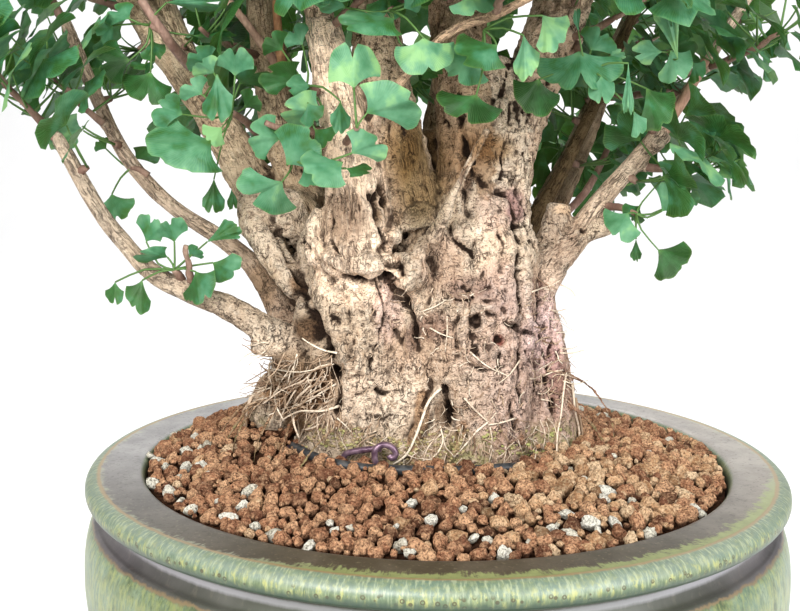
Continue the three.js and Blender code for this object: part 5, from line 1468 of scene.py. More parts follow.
# Patches of moss: [x0, y0, x1, y1, tufts, how green].
MOSS = [
    [306, 418, 364, 448, 150, 0.45], [396, 440, 480, 466, 150, 0.40], [480, 428, 562, 455, 190, 0.85],
    [340, 436, 400, 462, 90, 0.35], [420, 420, 480, 442, 50, 0.3],
]


def build_moss(trunk_tree):
    tuft, faces = ball(4, 6)
    parts, green, number = [], [], 0
    for x0, y0, x1, y1, count, share in MOSS:
        for _ in range(count):
            number += 1
            px, py = x0 + (x1 - x0) * chance(number, 111), y0 + (y1 - y0) * chance(number, 112)
            hit = trunk_tree.ray_cast(Vector(CAMERA_AT), Vector(sight(px, py)))
            if hit[0] is None or hit[0].z > 30 or grain(np.array([[*hit[0]]]), 12, 113)[0] < -0.25:
                continue
            size = 0.6 + 0.9 * chance(number, 114)
            swell = 1 + 0.35 * grain(tuft + number, 0.6, 115)
            parts.append((tuft * swell[:, None] * size * (1.2, 1.0, 0.8) + np.array(hit[0]) - (0, 0.3, 0),
                          faces))
            green.append(np.full(len(tuft), min(1, max(0, share + 0.5 * wobble(number, 2, 116)))))
    points, all_faces = join(parts)
    look = Look("moss")
    colour = look.ramp(look.stored("each"), [
        (0.0, (0.30, 0.22, 0.12)), (0.5, (0.46, 0.39, 0.20)), (1.0, (0.38, 0.39, 0.15))])
    fuzz = look.noise(0.9, 3.0)
    colour = look.over(colour, fuzz, [(0.38, 0.6), (0.52, 0.0)], (0.12, 0.10, 0.03))
    obj = piece("moss_tufts", points, all_faces, "bark", ("trunk",), look.finish(
        colour, 0.95, fuzz, 1.0, 0.0008, Specular_IOR_Level=0.05))
    paint(obj, "each", np.concatenate(green))


# ---------------------------------------------------------------- wires, sleeve and screens
CURL_STRAND = [[-60, -63, 13.2], [-52, -65.5, 15.4], [-44, -67.5, 17], [-38, -69, 17.6]]
# The hook by its place in the picture: [px, py, depth y].
CURL_HOOK = [
    [378, 468, -71], [376, 463, -72], [374.6, 457, -73], [375, 451, -73], [378.5, 446.6, -72.5],
    [384, 444.8, -72], [390, 446.2, -72], [394.4, 450, -72], [395.6, 454.4, -72], [393.6, 457.6, -72],
    [390.6, 457.4, -71.5], [389.4, 455, -71],
]


def build_wires():
    look = Look("tie_wire")
    scuff = look.noise(5, 4.0)
    colour = look.ramp(scuff, [(0.35, (0.10, 0.055, 0.085)), (0.55, (0.20, 0.125, 0.17)),
                               (0.7, (0.30, 0.21, 0.25))])
    metal = look.finish(colour, look.ramp(scuff, [(0.4, 0.28), (0.65, 0.48)]), scuff, 0.15, 0.0004,
                        Metallic=0.55)
    wire = 2.2
    crossing = [[*p, 1.9] for p in WIRE_RISE + SLEEVE_LINE + WIRE_DROP]
    piece("wire_crossing", *tube(crossing, 12, 5), "tie_wire", ("crossing_wire",), metal)
    hook = [from_picture(*p) for p in CURL_HOOK]
    strands = [tube([[*p, wire] for p in strand], 12, 6) for strand in (CURL_RISE[:-2] + CURL_STRAND, hook)]
    piece("wire_curl", *join(strands), "tie_wire", ("curl_wire",), metal)

    # The sleeve is a tube with a bore, so that its ends show its wall.
    sides = 18
    (outer, faces), (inner, _) = (tube([[*p, radius] for p in SLEEVE_LINE], sides, 6) for radius in (3.3, 2.35))
    n, faces = len(outer), faces[:-2]
    both = faces + [tuple(n + k for k in reversed(face)) for face in faces]
    for ring, turned in ((0, 1), (n - sides, -1)):
        for j in range(sides):
            a, b = ring + j, ring + (j + 1) % sides
            both.append((b, a, n + a, n + b)[::turned])
    look = Look("sleeve_rubber")
    dust = look.noise(6, 4.0)
    colour = look.ramp(dust, [(0.4, (0.018, 0.020, 0.023)), (0.6, (0.045, 0.047, 0.05)),
                              (0.75, (0.12, 0.10, 0.085))])
    rubber = look.finish(colour, look.ramp(dust, [(0.4, 0.38), (0.7, 0.7)]), look.noise(1.5, 3.0), 0.2, 0.0005)
    piece("sleeve_tube", np.vstack([outer, inner]), both, "sleeve_rubber", ("wire_sleeve",), rubber)

    look = Look("screen_mesh")
    grit = look.noise(4, 3.0)
    plastic = look.finish(look.ramp(grit, [(0.4, (0.02, 0.02, 0.02)), (0.7, (0.07, 0.05, 0.035))]), 0.55,
                          grit, 0.3, 0.0005)
    for k, (x, y) in enumerate(DRAINS):
        bars = []
        for off in np.linspace(-21.3, 21.3, 12):
            bars.append(tube([[x + off, y - 22, -131.1, 0.5], [x + off, y + 22, -131.1, 0.5]], 6))
            bars.append(tube([[x - 22, y + off, -130.8, 0.5], [x + 22, y + off, -130.8, 0.5]], 6))
        piece(f"screen_lattice_{k + 1}", *join(bars), "screen_mesh", (f"drain_screen_{k + 1}",), plastic)


# ---------------------------------------------------------------- leaves and twigs
def fan(across, out, half, notch, seed, cup=0.25, ripple=0.06, fold=0.0):
    """A ginkgo blade of radius 1 from its joint at the origin: x across, y out, z off its face."""
    u, t = np.meshgrid(np.linspace(-1, 1, across + 1), np.linspace(0.03, 1, out + 1))
    u, t = u.ravel(), t.ravel()
    lean = 0.12 * wobble(seed, 1, 1)
    rim = 1 - 0.16 * np.abs(u) ** 5 - notch * np.exp(-((u - lean) / 0.085) ** 2)
    rim += 0.035 * np.sin(5 * u + 6 * chance(seed, 2)) + 0.022 * np.sin(13 * u + 6 * chance(seed, 3))
    for k in (1, 2):
        rim -= 0.10 * chance(seed, k, 4) ** 2 * np.exp(-((u - 0.75 * wobble(seed, k, 5)) / 0.05) ** 2)
    angle = np.radians(half) * u * (0.62 + 0.38 * t ** 0.8)
    a, b = t * rim * np.sin(angle), t * rim * np.cos(angle)
    c = -cup * a ** 2 - fold * np.abs(a) - 0.12 * cup * b ** 2
    c += (ripple * t ** 2 * np.sin(7 * u + 6 * chance(seed, 6))
          + 0.4 * ripple * t ** 3 * np.sin(17 * u + 6 * chance(seed, 7)))
    faces = []
    for i in range(out):
        for j in range(across):
            k = i * (across + 1) + j
            faces.append((k, k + 1, k + across + 2, k + across + 1))
    return np.stack([a, b, c], axis=-1), faces, np.stack([u, t], axis=-1)


class Leaves:
    """Blades and their stalks, gathered into one piece."""

    def __init__(self):
        self.parts, self.marks, self.joints = [], [], []

    def add(self, points, faces, marks, tint, stalk):
        self.parts.append((points, faces))
        self.marks.append(np.column_stack([marks, np.full(len(points), tint)]))
        if stalk is not None:
            stalk_points, stalk_faces = tube(stalk, 4, 2)
            self.parts.append((stalk_points, stalk_faces))
            self.marks.append(np.tile([0.0, -1.0, tint], (len(stalk_points), 1)))

    def make(self, name, replaced, look):
        points, faces = join(self.parts)
        paint(piece(name, points, faces, "leaf", replaced, look), "leaf", np.vstack(self.marks))


def leaf_look():
    look = Look("leaf")
    u, t, tint = look.node("SeparateXYZ", {0: look.stored("leaf", "Vector")}).node.outputs
    drift = look.times(look.minus(look.noise(15, 3.0), 0.5), 1.5)
    # Tints go from dark to light green; on the leaves of the front they partly paint light and shade.
    colour = look.ramp(look.plus(tint, drift), [
        (0.0, (0.007, 0.042, 0.005)), (0.3, (0.020, 0.098, 0.024)), (0.5, (0.040, 0.168, 0.086)),
        (0.8, (0.11, 0.28, 0.16)), (1.0, (0.22, 0.42, 0.18))])
    # Veins fork outwards, so there are twice as many stripes near the rim.
    wander = look.times(look.noise(6, 2.0), 0.06)
    lines = look.maths("SINE", look.times(look.plus(u, wander), 62.0))
    more = look.maths("SINE", look.times(look.plus(u, wander), 124.0))
    veins = look.over(lines, t, [(0.35, 0.0), (0.65, 1.0)], more)
    vein = look.times(look.plus(veins, 1.0), 0.5)
    colour = look.mix(look.times(look.ramp(vein, [(0.55, 0.0), (1.0, 1.0)]), 0.16), colour,
                      (0.22, 0.42, 0.16))
    edge = look.ramp(t, [(0.93, 0.0), (0.985, 1.0)])
    colour = look.mix(look.times(edge, 0.12), colour, (0.30, 0.45, 0.10))
    heart = look.ramp(t, [(0.0, 0.8), (0.22, 0.0)])
    colour = look.mix(look.times(heart, 0.6), colour, (0.16, 0.32, 0.08))
    stalk = look.ramp(look.plus(t, 1.0), [(0.2, 1.0), (0.6, 0.0)])
    colour = look.mix(stalk, colour, (0.10, 0.20, 0.055))
    rough = look.ramp(look.noise(10, 3.0), [(0.3, 0.36), (0.7, 0.52)])
    height = look.plus(vein, look.times(look.noise(2.5, 2.0), 0.7))
    look.finish(colour, rough, height, 0.22, 0.0006, Specular_IOR_Level=0.3)
    thin = look.ramp(tint, [(0.0, 0.08), (0.5, 0.6)])
    through = look.node("BsdfTranslucent", {"Color": look.mix(thin, colour, (0.30, 0.55, 0.06))})
    both = look.node("MixShader", {0: 0.22, 1: look.shader.outputs[0], 2: through})
    look.tree.links.new(both, look.tree.nodes["Material Output"].inputs["Surface"])
    return look.material


def stalk_line(root, joint, way, sag, radius=0.75):
    """A leaf stalk's stops, leaving its root along way and bending to its joint."""
    span = np.linalg.norm(joint - root)
    middle = (root + joint) / 2 + unit(way) * 0.16 * span + np.array([0, 0, -sag * span])
    return [[*root, radius * 1.25], [*middle, radius], [*joint, radius * 0.85]]


# Leaves that the photograph shows, by the spur each group grows from:
# [spur px, py, depth y], then [x0, y0, x1, y1, joint px, py, depth off the spur's, fan, notch, tint, lean].
# Where no joint is given, it is the place of the leaf's box that is nearest to the spur.
# Each leaf's tint, from dark to light, partly paints the light and shade that fall on it.
SHOWN = [
    [[150, 25, -30], [
        [94, 18, 115, 48, 0, 60, 0.3, 0.55, 0.5], [96, 40, 130, 84, 129, 60, -6, 66, 0.3, 0.06, 0.3],
        [130, 61, 146, 70, 4, 60, 0.2, 0.25, 0.8], [122, 72, 172, 105, 151, 73, -4, 72, 0.35, 0.08, 0.4],
        [166, -8, 225, 12, 170, 4, -8, 60, 0.3, 0.5, 0.4], [193, 30, 237, 43, 6, 60, 0.2, 0.3, 1.0],
        [104, 2, 134, 26, -10, 64, 0.3, 0.5, -0.3], [140, 40, 166, 62, 10, 60, 0.3, 0.2, 0.6],
    ]],
    [[232, 112, -52], [
        [151, 93, 183, 128, 180, 115, 4, 66, 0.25, 0.45, 0.3],
        [145, 118, 223, 173, 202, 137, -14, 74, 0.12, 0.55, 0.4], [202, 124, 225, 147, -16, 55, 0.2, 0.98, 0.8],
        [179, 75, 208, 101, -6, 66, 0.3, 0.6, 0.4], [202, 74, 233, 123, 215, 76, -12, 50, 0.2, 0.5, 0.2],
        [192, 55, 218, 78, 0, 60, 0.2, 0.85, 0.6], [216, 47, 254, 76, 234, 76, -10, 68, 0.3, 0.68, 0.5],
        [186, 45, 216, 72, 6, 66, 0.3, 0.45, 0.4], [225, 63, 275, 90, 240, 88, 2, 70, 0.3, 0.25, 0.6],
        [202, 179, 225, 213, 214, 180, 10, 44, 0.2, 0.2, 0.2], [240, 88, 262, 112, 8, 60, 0.2, 0.22, 0.6],
    ]],
    [[306, 86, -66], [
        [258, 61, 300, 95, 4, 70, 0.35, 0.12, 0.4], [286, 74, 311, 99, -4, 60, 0.2, 0.55, 0.5],
        [280, 90, 323, 128, 322, 113, -10, 68, 0.3, 0.78, 0.3], [284, 23, 309, 48, 10, 62, 0.3, 0.45, 0.4],
        [300, 103, 324, 128, -14, 58, 0.2, 0.5, 0.5], [330, 101, 351, 134, 341, 102, -30, 56, 0.1, 0.55, 0.3],
        [312, 126, 336, 149, -22, 55, 0.1, 0.18, 0.8], [262, 30, 288, 56, 14, 62, 0.3, 0.3, 0.4],
    ]],
    [[292, 158, -84], [
        [248, 114, 280, 160, 278, 140, -4, 68, 0.35, 0.7, 0.4],
        [274, 123, 324, 175, 282, 168, -16, 64, 0.15, 0.55, 0.3], [298, 156, 330, 187, -26, 64, 0.2, 0.6, 0.6],
        [236, 167, 297, 215, 282, 178, -12, 72, 0.4, 0.6, 0.3],
        [300, 149, 346, 188, 344, 156, -34, 64, 0.15, 0.66, 0.5],
        [346, 128, 388, 162, 350, 158, -42, 62, 0.2, 0.8, 0.4],
        [346, 163, 372, 177, 348, 166, -30, 60, 0.2, 0.18, 0.8],
    ]],
    [[357, 128, -126], [
        [328, 42, 381, 88, 356, 86, 2, 78, 0.38, 0.86, -0.2],
        [359, 80, 422, 130, 364, 122, -8, 66, 0.12, 0.72, 0.3],
    ]],
    [[390, 10, -92], [
        [338, 8, 403, 36, -8, 68, 0.15, 0.5, 0.6], [366, -6, 406, 20, 386, 4, 8, 60, 0.2, 0.32, 0.4],
        [403, -6, 421, 13, -4, 56, 0.2, 0.5, 0.4], [394, 38, 455, 75, 423, 38, -20, 78, 0.22, 0.86, 0.2],
        [421, 66, 443, 80, 4, 60, 0.2, 0.2, 0.8], [449, -6, 499, 16, 470, -6, -10, 70, 0.25, 0.72, 0.3],
        [318, -4, 346, 14, 4, 60, 0.3, 0.42, 0.4],
    ]],
    [[484, 30, -88], [
        [441, 45, 489, 86, 482, 48, 4, 66, 0.25, 0.66, 0.4],
        [454, 33, 506, 71, 496, 40, -10, 66, 0.2, 0.3, 0.5],
        [436, 90, 503, 124, 476, 93, -6, 76, 0.4, 0.03, 0.3],
        [513, 35, 540, 82, 522, 38, -14, 50, 0.1, 0.84, 0.2],
        [536, 15, 570, 53, 541, 18, -16, 52, 0.1, 0.84, 0.3],
    ]],
    [[588, 72, -58], [
        [537, 51, 624, 90, 580, 55, -6, 80, 0.42, 0.55, 0.3],
        [513, 79, 560, 117, 541, 81, 0, 74, 0.1, 0.02, 0.3],
        [588, 76, 615, 104, 600, 77, -12, 66, 0.3, 0.62, 0.4], [580, 26, 617, 55, 0, 66, 0.3, 0.5, 0.4],
        [573, 8, 581, 32, -8, 40, 0.1, 0.6, 0.3], [610, 48, 626, 59, 2, 55, 0.2, 0.8, 0.5],
        [622, 63, 634, 115, 629, 64, -14, 28, 0.1, 0.72, 0.2], [631, 111, 647, 138, -6, 40, 0.1, 0.66, 0.3],
        [638, 88, 676, 132, 645, 92, 6, 50, 0.1, 0.18, 0.4],
    ]],
    [[668, 52, -40], [
        [653, -10, 681, 59, 679, 56, -14, 26, 0.1, 0.92, 0.2], [670, 30, 698, 59, 6, 62, 0.3, 0.2, 0.4],
        [658, 50, 693, 84, -6, 64, 0.2, 0.8, 0.4], [632, 40, 662, 65, -4, 60, 0.3, 0.8, 0.4],
        [688, 60, 706, 84, 8, 60, 0.3, 0.4, 0.4],
    ]],
    [[636, 214, -28], [
        [658, 161, 692, 186, 8, 62, 0.3, 0.3, 0.4], [676, 186, 700, 206, 4, 60, 0.3, 0.25, 0.4],
        [656, 182, 680, 215, 0, 60, 0.2, 0.6, 0.4], [622, 203, 645, 224, 640, 206, 6, 60, 0.2, 0.2, 0.6],
        [603, 208, 641, 243, 632, 210, -10, 68, 0.3, 0.62, 0.4], [630, 239, 642, 262, 2, 36, 0.1, 0.2, 0.3],
        [654, 241, 692, 281, 656, 247, -16, 58, 0.1, 0.06, 0.2],
    ]],
    [[560, 150, 110], [
        [528, 147, 553, 189, 548, 150, 0, 60, 0.2, 0.12, 0.3],
        [574, 145, 591, 189, 580, 148, 6, 46, 0.2, 0.15, 0.3], [536, 112, 566, 144, 10, 62, 0.3, 0.2, 0.3],
        [546, 178, 572, 208, 4, 60, 0.2, 0.25, 0.3], [586, 118, 616, 150, 14, 66, 0.3, 0.1, 0.3],
        [600, 146, 628, 178, 8, 60, 0.3, 0.15, 0.4], [556, 84, 588, 112, 16, 64, 0.3, 0.2, 0.3],
        [590, 168, 612, 198, 12, 56, 0.2, 0.3, 0.3], [532, 186, 550, 212, 16, 56, 0.2, 0.3, 0.3],
        [606, 104, 634, 130, 18, 62, 0.3, 0.3, 0.4], [540, 138, 570, 176, 20, 66, 0.3, 0.08, 0.3],
        [566, 162, 598, 198, 24, 66, 0.3, 0.1, 0.3], [572, 186, 602, 218, 26, 66, 0.3, 0.14, 0.3],
        [590, 126, 618, 172, 22, 60, 0.3, 0.08, 0.3], [526, 166, 550, 196, 22, 60, 0.3, 0.12, 0.3],
    ]],
    [[131, 168, -4], [
        [94, 194, 135, 225, 111, 194, -2, 68, 0.3, 0.42, 0.4], [94, 137, 109, 152, 4, 60, 0.2, 0.3, 0.5],
        [133, 146, 160, 164, 14, 60, 0.2, 0.18, 0.5],
    ]],
    [[232, 176, 60], [
        [227, 185, 239, 210, 232, 186, 0, 46, 0.2, 0.25, 0.3],
    ]],
    [[174, 270, -50], [
        [136, 214, 163, 242, 143, 242, 4, 64, 0.3, 0.5, 0.3],
        [158, 217, 188, 242, 175, 241, -4, 66, 0.3, 0.55, 0.4], [133, 246, 168, 263, -4, 62, 0.2, 0.4, 0.6],
        [187, 244, 204, 259, 6, 56, 0.2, 0.5, 0.5], [212, 253, 242, 283, 216, 262, 0, 62, 0.1, 0.45, 0.4],
        [183, 270, 216, 305, 191, 270, -6, 66, 0.25, 0.3, 0.4], [207, 219, 242, 242, 8, 26, 0.1, 0.5, 0.2],
        [105, 282, 124, 305, 115, 282, 2, 62, 0.3, 0.4, 0.3],
        [125, 280, 151, 315, 146, 277, -4, 56, 0.1, 0.3, 0.3],
    ]],
]


def place_shown(leaves):
    """The leaves of the front, each filling its place in the picture."""
    for g, ((sx, sy, depth), rows) in enumerate(SHOWN):
        spur = from_picture(sx, sy, depth)
        for k, (x0, y0, x1, y1, *at, off, half, notch, tint, lean) in enumerate(rows):
            seed = 400 + 20 * g + k
            jx, jy = at or (min(max(sx, x0), x1), min(max(sy, y0), y1))
            way = unit(np.array([(x0 + x1) / 2 - jx, jy - (y0 + y1) / 2]))
            shape, faces, marks = fan(26, 5, half, notch, seed, 0.35, 0.05, 0.12 * chance(seed, 8))
            across = np.array([way[1], -way[0]])
            flat = np.outer(shape[:, 0], across) + np.outer(shape[:, 1], way)
            low, high = flat.min(axis=0), flat.max(axis=0)
            px = x0 + (flat[:, 0] - low[0]) / (high[0] - low[0]) * (x1 - x0)
            py = y1 - (flat[:, 1] - low[1]) / (high[1] - low[1]) * (y1 - y0)
            size = 0.62 * max(x1 - x0, y1 - y0)
            side = 0.5 * wobble(seed, 1, 9)
            y = depth + off - size * (lean * (shape[:, 1] - 0.3) + side * shape[:, 0] + shape[:, 2])
            points = np.array([from_picture(a, b, c) for a, b, c in zip(px, py, y)])
            joint = points[:27].mean(axis=0)
            leaves.add(points, faces, marks, tint, stalk_line(spur, joint, joint - points[-14], 0.05))


# Where other leaves may show in the picture, and where the photograph is white between them.
LEAFY = [
    [(60, -400), (345, -400), (345, 120), (300, 180), (226, 168), (150, 140), (132, 100), (60, 84)],
    [(345, -400), (530, -400), (530, 106), (345, 106)],
    [(530, -400), (745, -400), (745, 150), (700, 214), (612, 232), (566, 190), (530, 186)],
]
BARE = [(574, 101, 9), (599, 124, 12), (624, 29, 8), (670, 71, 7), (112, 110, 14)]


def inside(px, py, corners):
    odd = False
    for (ax, ay), (bx, by) in zip(corners, corners[1:] + corners[:1]):
        if (ay > py) != (by > py) and px < ax + (py - ay) / (by - ay) * (bx - ax):
            odd = not odd
    return odd


def may_show(points, trunk_tree):
    """Whether a leaf that the photograph doesn't show one by one may stand there."""
    for p in points:
        px, py = to_picture(p)
        if not (90 < px < 710 and -6 < py < 615):
            continue
        hidden = trunk_tree.ray_cast(Vector(CAMERA_AT), Vector(p - CAMERA_AT))
        away = np.linalg.norm(p - CAMERA_AT)
        if hidden[3] is not None and hidden[3] < away - 2:
            continue
        if hidden[3] is not None:
            return False
        if not any(inside(px, py, zone) for zone in LEAFY):
            return False
        if any(math.hypot(px - bx, py - by) < r for bx, by, r in BARE):
            return False
    return True


# How far a leaf's rim may reach, its radius, and the fans: half their angle, and their notch.
LEAF_LOW = np.array([-366.6, -251, -100.0]) - 4
LEAF_HIGH = np.array([323.6, 269, 622.5]) + 4
BLADE = 31
FANS = [(58, 0.30), (66, 0.38), (74, 0.42), (62, 0.12), (70, 0.22), (78, 0.36), (54, 0.15), (68, 0.45)]


def place_leaf(leaves, kinds, root, stalk, face, size, seed, tint, trunk_tree):
    """One leaf of the rule: its stalk from root, its blade hanging from the joint."""
    radius = BLADE * size
    joint = root + radius * stalk
    hang = unit(stalk - UP * (0.2 + 0.9 * chance(seed, 1, 17)))
    lie = unit(hang - face * (hang @ face))
    if lie @ stalk < 0.15:
        return False
    side = np.cross(lie, face)
    shape, faces, marks = kinds[int(8 * chance(seed, 2, 18)) % 8]
    points = joint + radius * (np.outer(shape[:, 0], side) + np.outer(shape[:, 1], lie)
                               + np.outer(shape[:, 2], face))
    rim, waist = points[[-15, -8, -1]], points[[32, 37, 42]]
    if not may_show(np.vstack([joint, rim, waist]), trunk_tree):
        return False
    if (rim < LEAF_LOW).any() or (rim > LEAF_HIGH).any():
        return False
    if trunk_tree.find_nearest(Vector(points[len(points) // 2]))[3] < 9:
        return False
    middle = joint + 0.6 * radius * lie
    for other in leaves.joints:
        if np.linalg.norm(other - middle) < 15 * size:
            return False
    leaves.joints.append(middle)
    leaves.add(points, faces, marks, tint, stalk_line(root, joint, stalk, 0.04))
    return True


def stance(root, out_way, seed, attempt):
    outward = unit(np.array([root[0], root[1] - 20, 0]))
    spin = 2.4 * seed + 0.9 * attempt
    stalk = unit(unit([math.cos(spin), math.sin(spin), 0.3 + 0.6 * chance(seed, attempt, 3)]) + out_way)
    face = unit(0.9 * outward + (0.35 + 0.7 * chance(seed, 4, 14)) * UP
                + 0.6 * np.array([wobble(seed, 5, 15), wobble(seed, 6, 16), 0]))
    return stalk, face


def place_rest(groups, trunk_tree):
    """Leaves by rule: along every shoot, and in rosettes on spurs of the limbs above the picture."""
    kinds = [fan(14, 3, half, notch, 600 + k) for k, (half, notch) in enumerate(FANS)]
    spurs = []

    def grow_leaf(root, way, least, seed, attempts):
        """Tries a leaf in a few stances until it stands free."""
        size = least + 0.34 * chance(seed, 7, 12)
        for attempt in range(attempts):
            stalk, face = stance(root, way, seed, attempt)
            if place_leaf(groups(root), kinds, root, stalk, face, size, seed + 7 * attempt,
                          0.12 + 0.75 * chance(seed, 8), trunk_tree):
                return True
        return False

    for number, shoot in enumerate(SHOOTS, 1):
        way = unit(shoot[2])
        for k in range(shoot[4] * 4):
            root = stem_point(shoot, 0.98 if k == 0 else 0.98 - 0.82 * k / (shoot[4] * 4))
            seed = 100 * number + k
            grow_leaf(root, way * (0.9 if k == 0 else 0.35), 0.78, seed, 5)
    for number, (limb, stops) in enumerate(LIMBS.items()):
        length = sum(np.linalg.norm(np.array(b[:3]) - a[:3]) for a, b in zip(stops, np.array(stops)[1:]))
        count = int(length / 26)
        for k in range(count):
            t = (k + 0.5) / count
            place, radius, ahead = along(stops, t)
            if place[2] < 200 or radius > 17 or limb == "frontTwig":
                continue
            angle = 2.4 * k + number
            side = unit(np.cross(ahead, [math.cos(angle), math.sin(angle), 0.3]))
            spur = place + side * (radius + 5)
            seed = 7000 + 100 * number + 10 * k
            if sum(grow_leaf(spur, side * 0.8, 0.74, seed + j, 3) for j in range(6)):
                spurs.append(tube([[*(place + side * (radius - 3)), 3.4],
                                   [*(place + side * (radius + 1.5)), 3.0],
                                   [*spur, 2.2]], 6, 2, 0.1, number * 50 + k))
    return spurs


def side_of(place):
    """The piece that a leaf or a shoot belongs to."""
    if place[1] >= 100:
        return "leaves_rear"
    return "leaves_left" if place[0] < -70 else "leaves_middle" if place[0] < 70 else "leaves_right"


def build_leaves(trunk_tree):
    look = leaf_look()
    names = [f"leafy_shoot_{k:02d}" for k in range(1, len(SHOOTS) + 1)]
    ends = [stem_point(shoot, 0.6) for shoot in SHOOTS]
    sets = {name: Leaves() for name in ("leaves_left", "leaves_middle", "leaves_right", "leaves_rear")}
    shown = Leaves()
    place_shown(shown)
    spurs = place_rest(lambda place: sets[side_of(place)], trunk_tree)
    for name, leaves in sets.items():
        leaves.make(name, [n for n, end in zip(names, ends) if side_of(end) == name], look)
    shown.make("leaves_shown", [n for n, end in zip(names, ends) if end[1] < 0], look)
    build_twigs(names, spurs)


# Twigs that the photograph shows: [px, py, depth y, radius].
TWIGS = [
    [[141, 0, -30, 3.0], [160, 28, -28, 3.4], [176, 50, -14, 3.6], [190, 66, 6, 4.0]],
    [[228, 0, 0, 2.6], [250, 28, 6, 3.0], [268, 52, 12, 3.2], [280, 70, 18, 3.6]],
    [[276, 0, -6, 2.8], [278, 30, 2, 3.2], [282, 62, 12, 3.8]],
    [[655, 145, 8, 5], [672, 118, 4, 4], [690, 88, 0, 3.6], [706, 60, -4, 3.2]],
    [[150, 25, -30, 2.0], [162, 32, -27, 2.6]],
    [[232, 112, -52, 2.0], [246, 122, -30, 2.6], [258, 134, 10, 3.2]],
    [[306, 86, -66, 2.0], [318, 92, -58, 2.8]],
    [[292, 158, -84, 1.8], [304, 150, -72, 2.4], [322, 146, -60, 3.0]],
    [[357, 128, -126, 1.6], [352, 134, -100, 2.2], [346, 142, -66, 2.8]],
    [[390, 10, -92, 1.8], [398, 6, -60, 2.6], [408, -4, -30, 3.0]],
    [[588, 72, -58, 1.8], [582, 60, -30, 2.4], [576, 44, -6, 3.0]],
    [[636, 214, -28, 1.8], [622, 208, -14, 2.6], [606, 206, 0, 3.2]],
    [[131, 168, -4, 1.6], [140, 170, -4, 2.4], [148, 176, -2, 3.0]],
    [[174, 270, -50, 2.0], [178, 274, -46, 2.8], [182, 280, -40, 3.4]],
    [[668, 52, -40, 1.6], [680, 62, -20, 2.2], [694, 76, 0, 3.0]],
    [[556, 220, 62, 3.6], [574, 205, 72, 3.3], [588, 188, 78, 3.1], [600, 166, 86, 2.8], [612, 138, 94, 2.4]],
]


# Twigs of another colour, as a share of the others'.
TWIG_SHADES = {0: (1.15, 1.15, 1.2), 1: (1.95, 2.0, 2.0), 2: (1.6, 1.25, 0.85), 3: (1.9, 1.8, 1.7),
               15: (1.5, 1.5, 1.6)}


def build_twigs(names, spurs):
    parts = list(spurs)
    shades = [np.ones((sum(len(p) for p, _ in parts), 3))]
    for k, stops in enumerate(TWIGS):
        parts.append(tube([[*from_picture(px, py, y), r] for px, py, y, r in stops], 8, 4, 0.08, 700 + k))
        shades.append(np.tile(TWIG_SHADES.get(k, (1, 1, 1)), (len(parts[-1][0]), 1)))
    for k, shoot in enumerate(SHOOTS):
        stops = []
        for s in np.linspace(-0.06, 1, 9):
            bend = 1.2 * np.array([wobble(k, s * 9, 81), wobble(k, s * 9, 82), wobble(k, s * 9, 83)])
            stops.append([*(stem_point(shoot, max(s, 0)) + unit(shoot[2]) * min(s, 0) * shoot[3]
                            + bend * (0.1 < s < 1)),
                          3.0 * (1 - 0.45 * max(s, 0)) * (1 + 0.16 * wobble(k, s * 9, 84))])
        parts.append(tube(stops, 8, 2, 0.06, 750 + k))
        shades.append(np.ones((len(parts[-1][0]), 3)))
    points, faces = join(parts)
    paint(piece("twigs", points, faces, "leaf", names, twig_look()), "tint", np.vstack(shades))


def twig_look():
    look = Look("twig")
    base = look.ramp(look.noise(14, 3.0),
                     [(0.35, (0.16, 0.09, 0.065)), (0.55, (0.27, 0.17, 0.125)), (0.7, (0.36, 0.26, 0.19))])
    ridged = look.noise(2.0, 3.0, look.stretch((1, 1, 0.25)))
    colour = look.mix(look.ramp(ridged, [(0.4, 0.0), (0.62, 1.0)]), look.mix(0.5, base, (0.10, 0.055, 0.04)),
                      base)
    colour = look.mix(1.0, colour, look.stored("tint", "Vector"), "MULTIPLY")
    return look.finish(colour, 0.62, ridged, 0.4, 0.0006, Specular_IOR_Level=0.25)


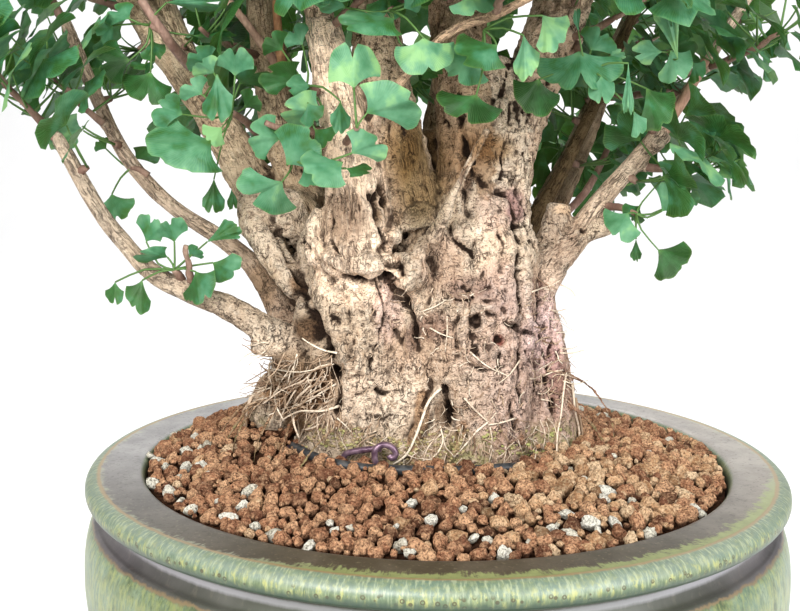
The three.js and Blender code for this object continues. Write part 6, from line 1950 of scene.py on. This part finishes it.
# ---------------------------------------------------------------- floor and light
def add_lamp(name, at, way, power, colour=(1, 1, 1)):
    """An area lamp that shines that way; returns its data."""
    data = bpy.data.lights.new(name, "AREA")
    data.energy, data.color = power, colour
    lamp = bpy.data.objects.new(name, data)
    bpy.context.collection.objects.link(lamp)
    lamp.location = ORIGIN + MM * np.array(at)
    lamp.rotation_euler = Vector(way).to_track_quat("-Z", "Y").to_euler()
    return data


def build_stage():
    low = FLOOR_Z - 0.5
    # The sweep rises 3 m behind the pot, so that a camera that goes round the object stays in front of it.
    rows = [(-4000, low), (2200, low)]
    rows += [(2200 + 800 * math.sin(a), low + 800 * (1 - math.cos(a)))
             for a in np.linspace(0.1, math.pi / 2, 12)]
    rows += [(3000, low + 4000)]
    points = [(x, y, z) for y, z in rows for x in (-5000, 5000)]
    faces = [(2 * i, 2 * i + 1, 2 * i + 3, 2 * i + 2) for i in range(len(rows) - 1)]
    floor = piece("floor", points, faces, None)
    look = Look("floor")
    colour = look.ramp(look.noise(400, 2.0), [(0.4, (0.90, 0.90, 0.905)), (0.6, (0.92, 0.92, 0.92))])
    floor.data.materials.append(look.finish(colour, 0.7))

    world = bpy.data.worlds.new("room")
    world.use_nodes = True
    world.node_tree.nodes["Background"].inputs[0].default_value = (1.0, 1.0, 1.0, 1)
    world.node_tree.nodes["Background"].inputs[1].default_value = 0.31
    bpy.context.scene.world = world
    for name, at, size, power, colour in (
            ("key", (-480, -1300, 820), 0.8, 33, (1.0, 0.985, 0.96)),
            ("fill", (900, -1200, 500), 1.0, 21, (0.97, 0.985, 1.0)),
            ("back", (200, 900, 1300), 0.9, 12, (1.0, 1.0, 1.0))):
        add_lamp(name, at, np.array([0, 0, 120]) - at, power, colour).size = size
    wash = add_lamp("wash", (0, 1750, 1900), (0, 0.45, -1), 52)
    wash.shape, wash.size, wash.size_y = "RECTANGLE", 5.0, 2.4


bpy.context.scene.view_settings.view_transform = "Standard"
build_stage()
TRUNK_POINTS, TRUNK_QUADS = build_trunk()
TRUNK_TREE = BVHTree.FromPolygons(TRUNK_POINTS.tolist(), TRUNK_QUADS.tolist())
build_pot()
build_bed()
build_soil(TRUNK_TREE)
build_roots(TRUNK_TREE)
build_moss(TRUNK_TREE)
build_wires()
build_leaves(TRUNK_TREE)
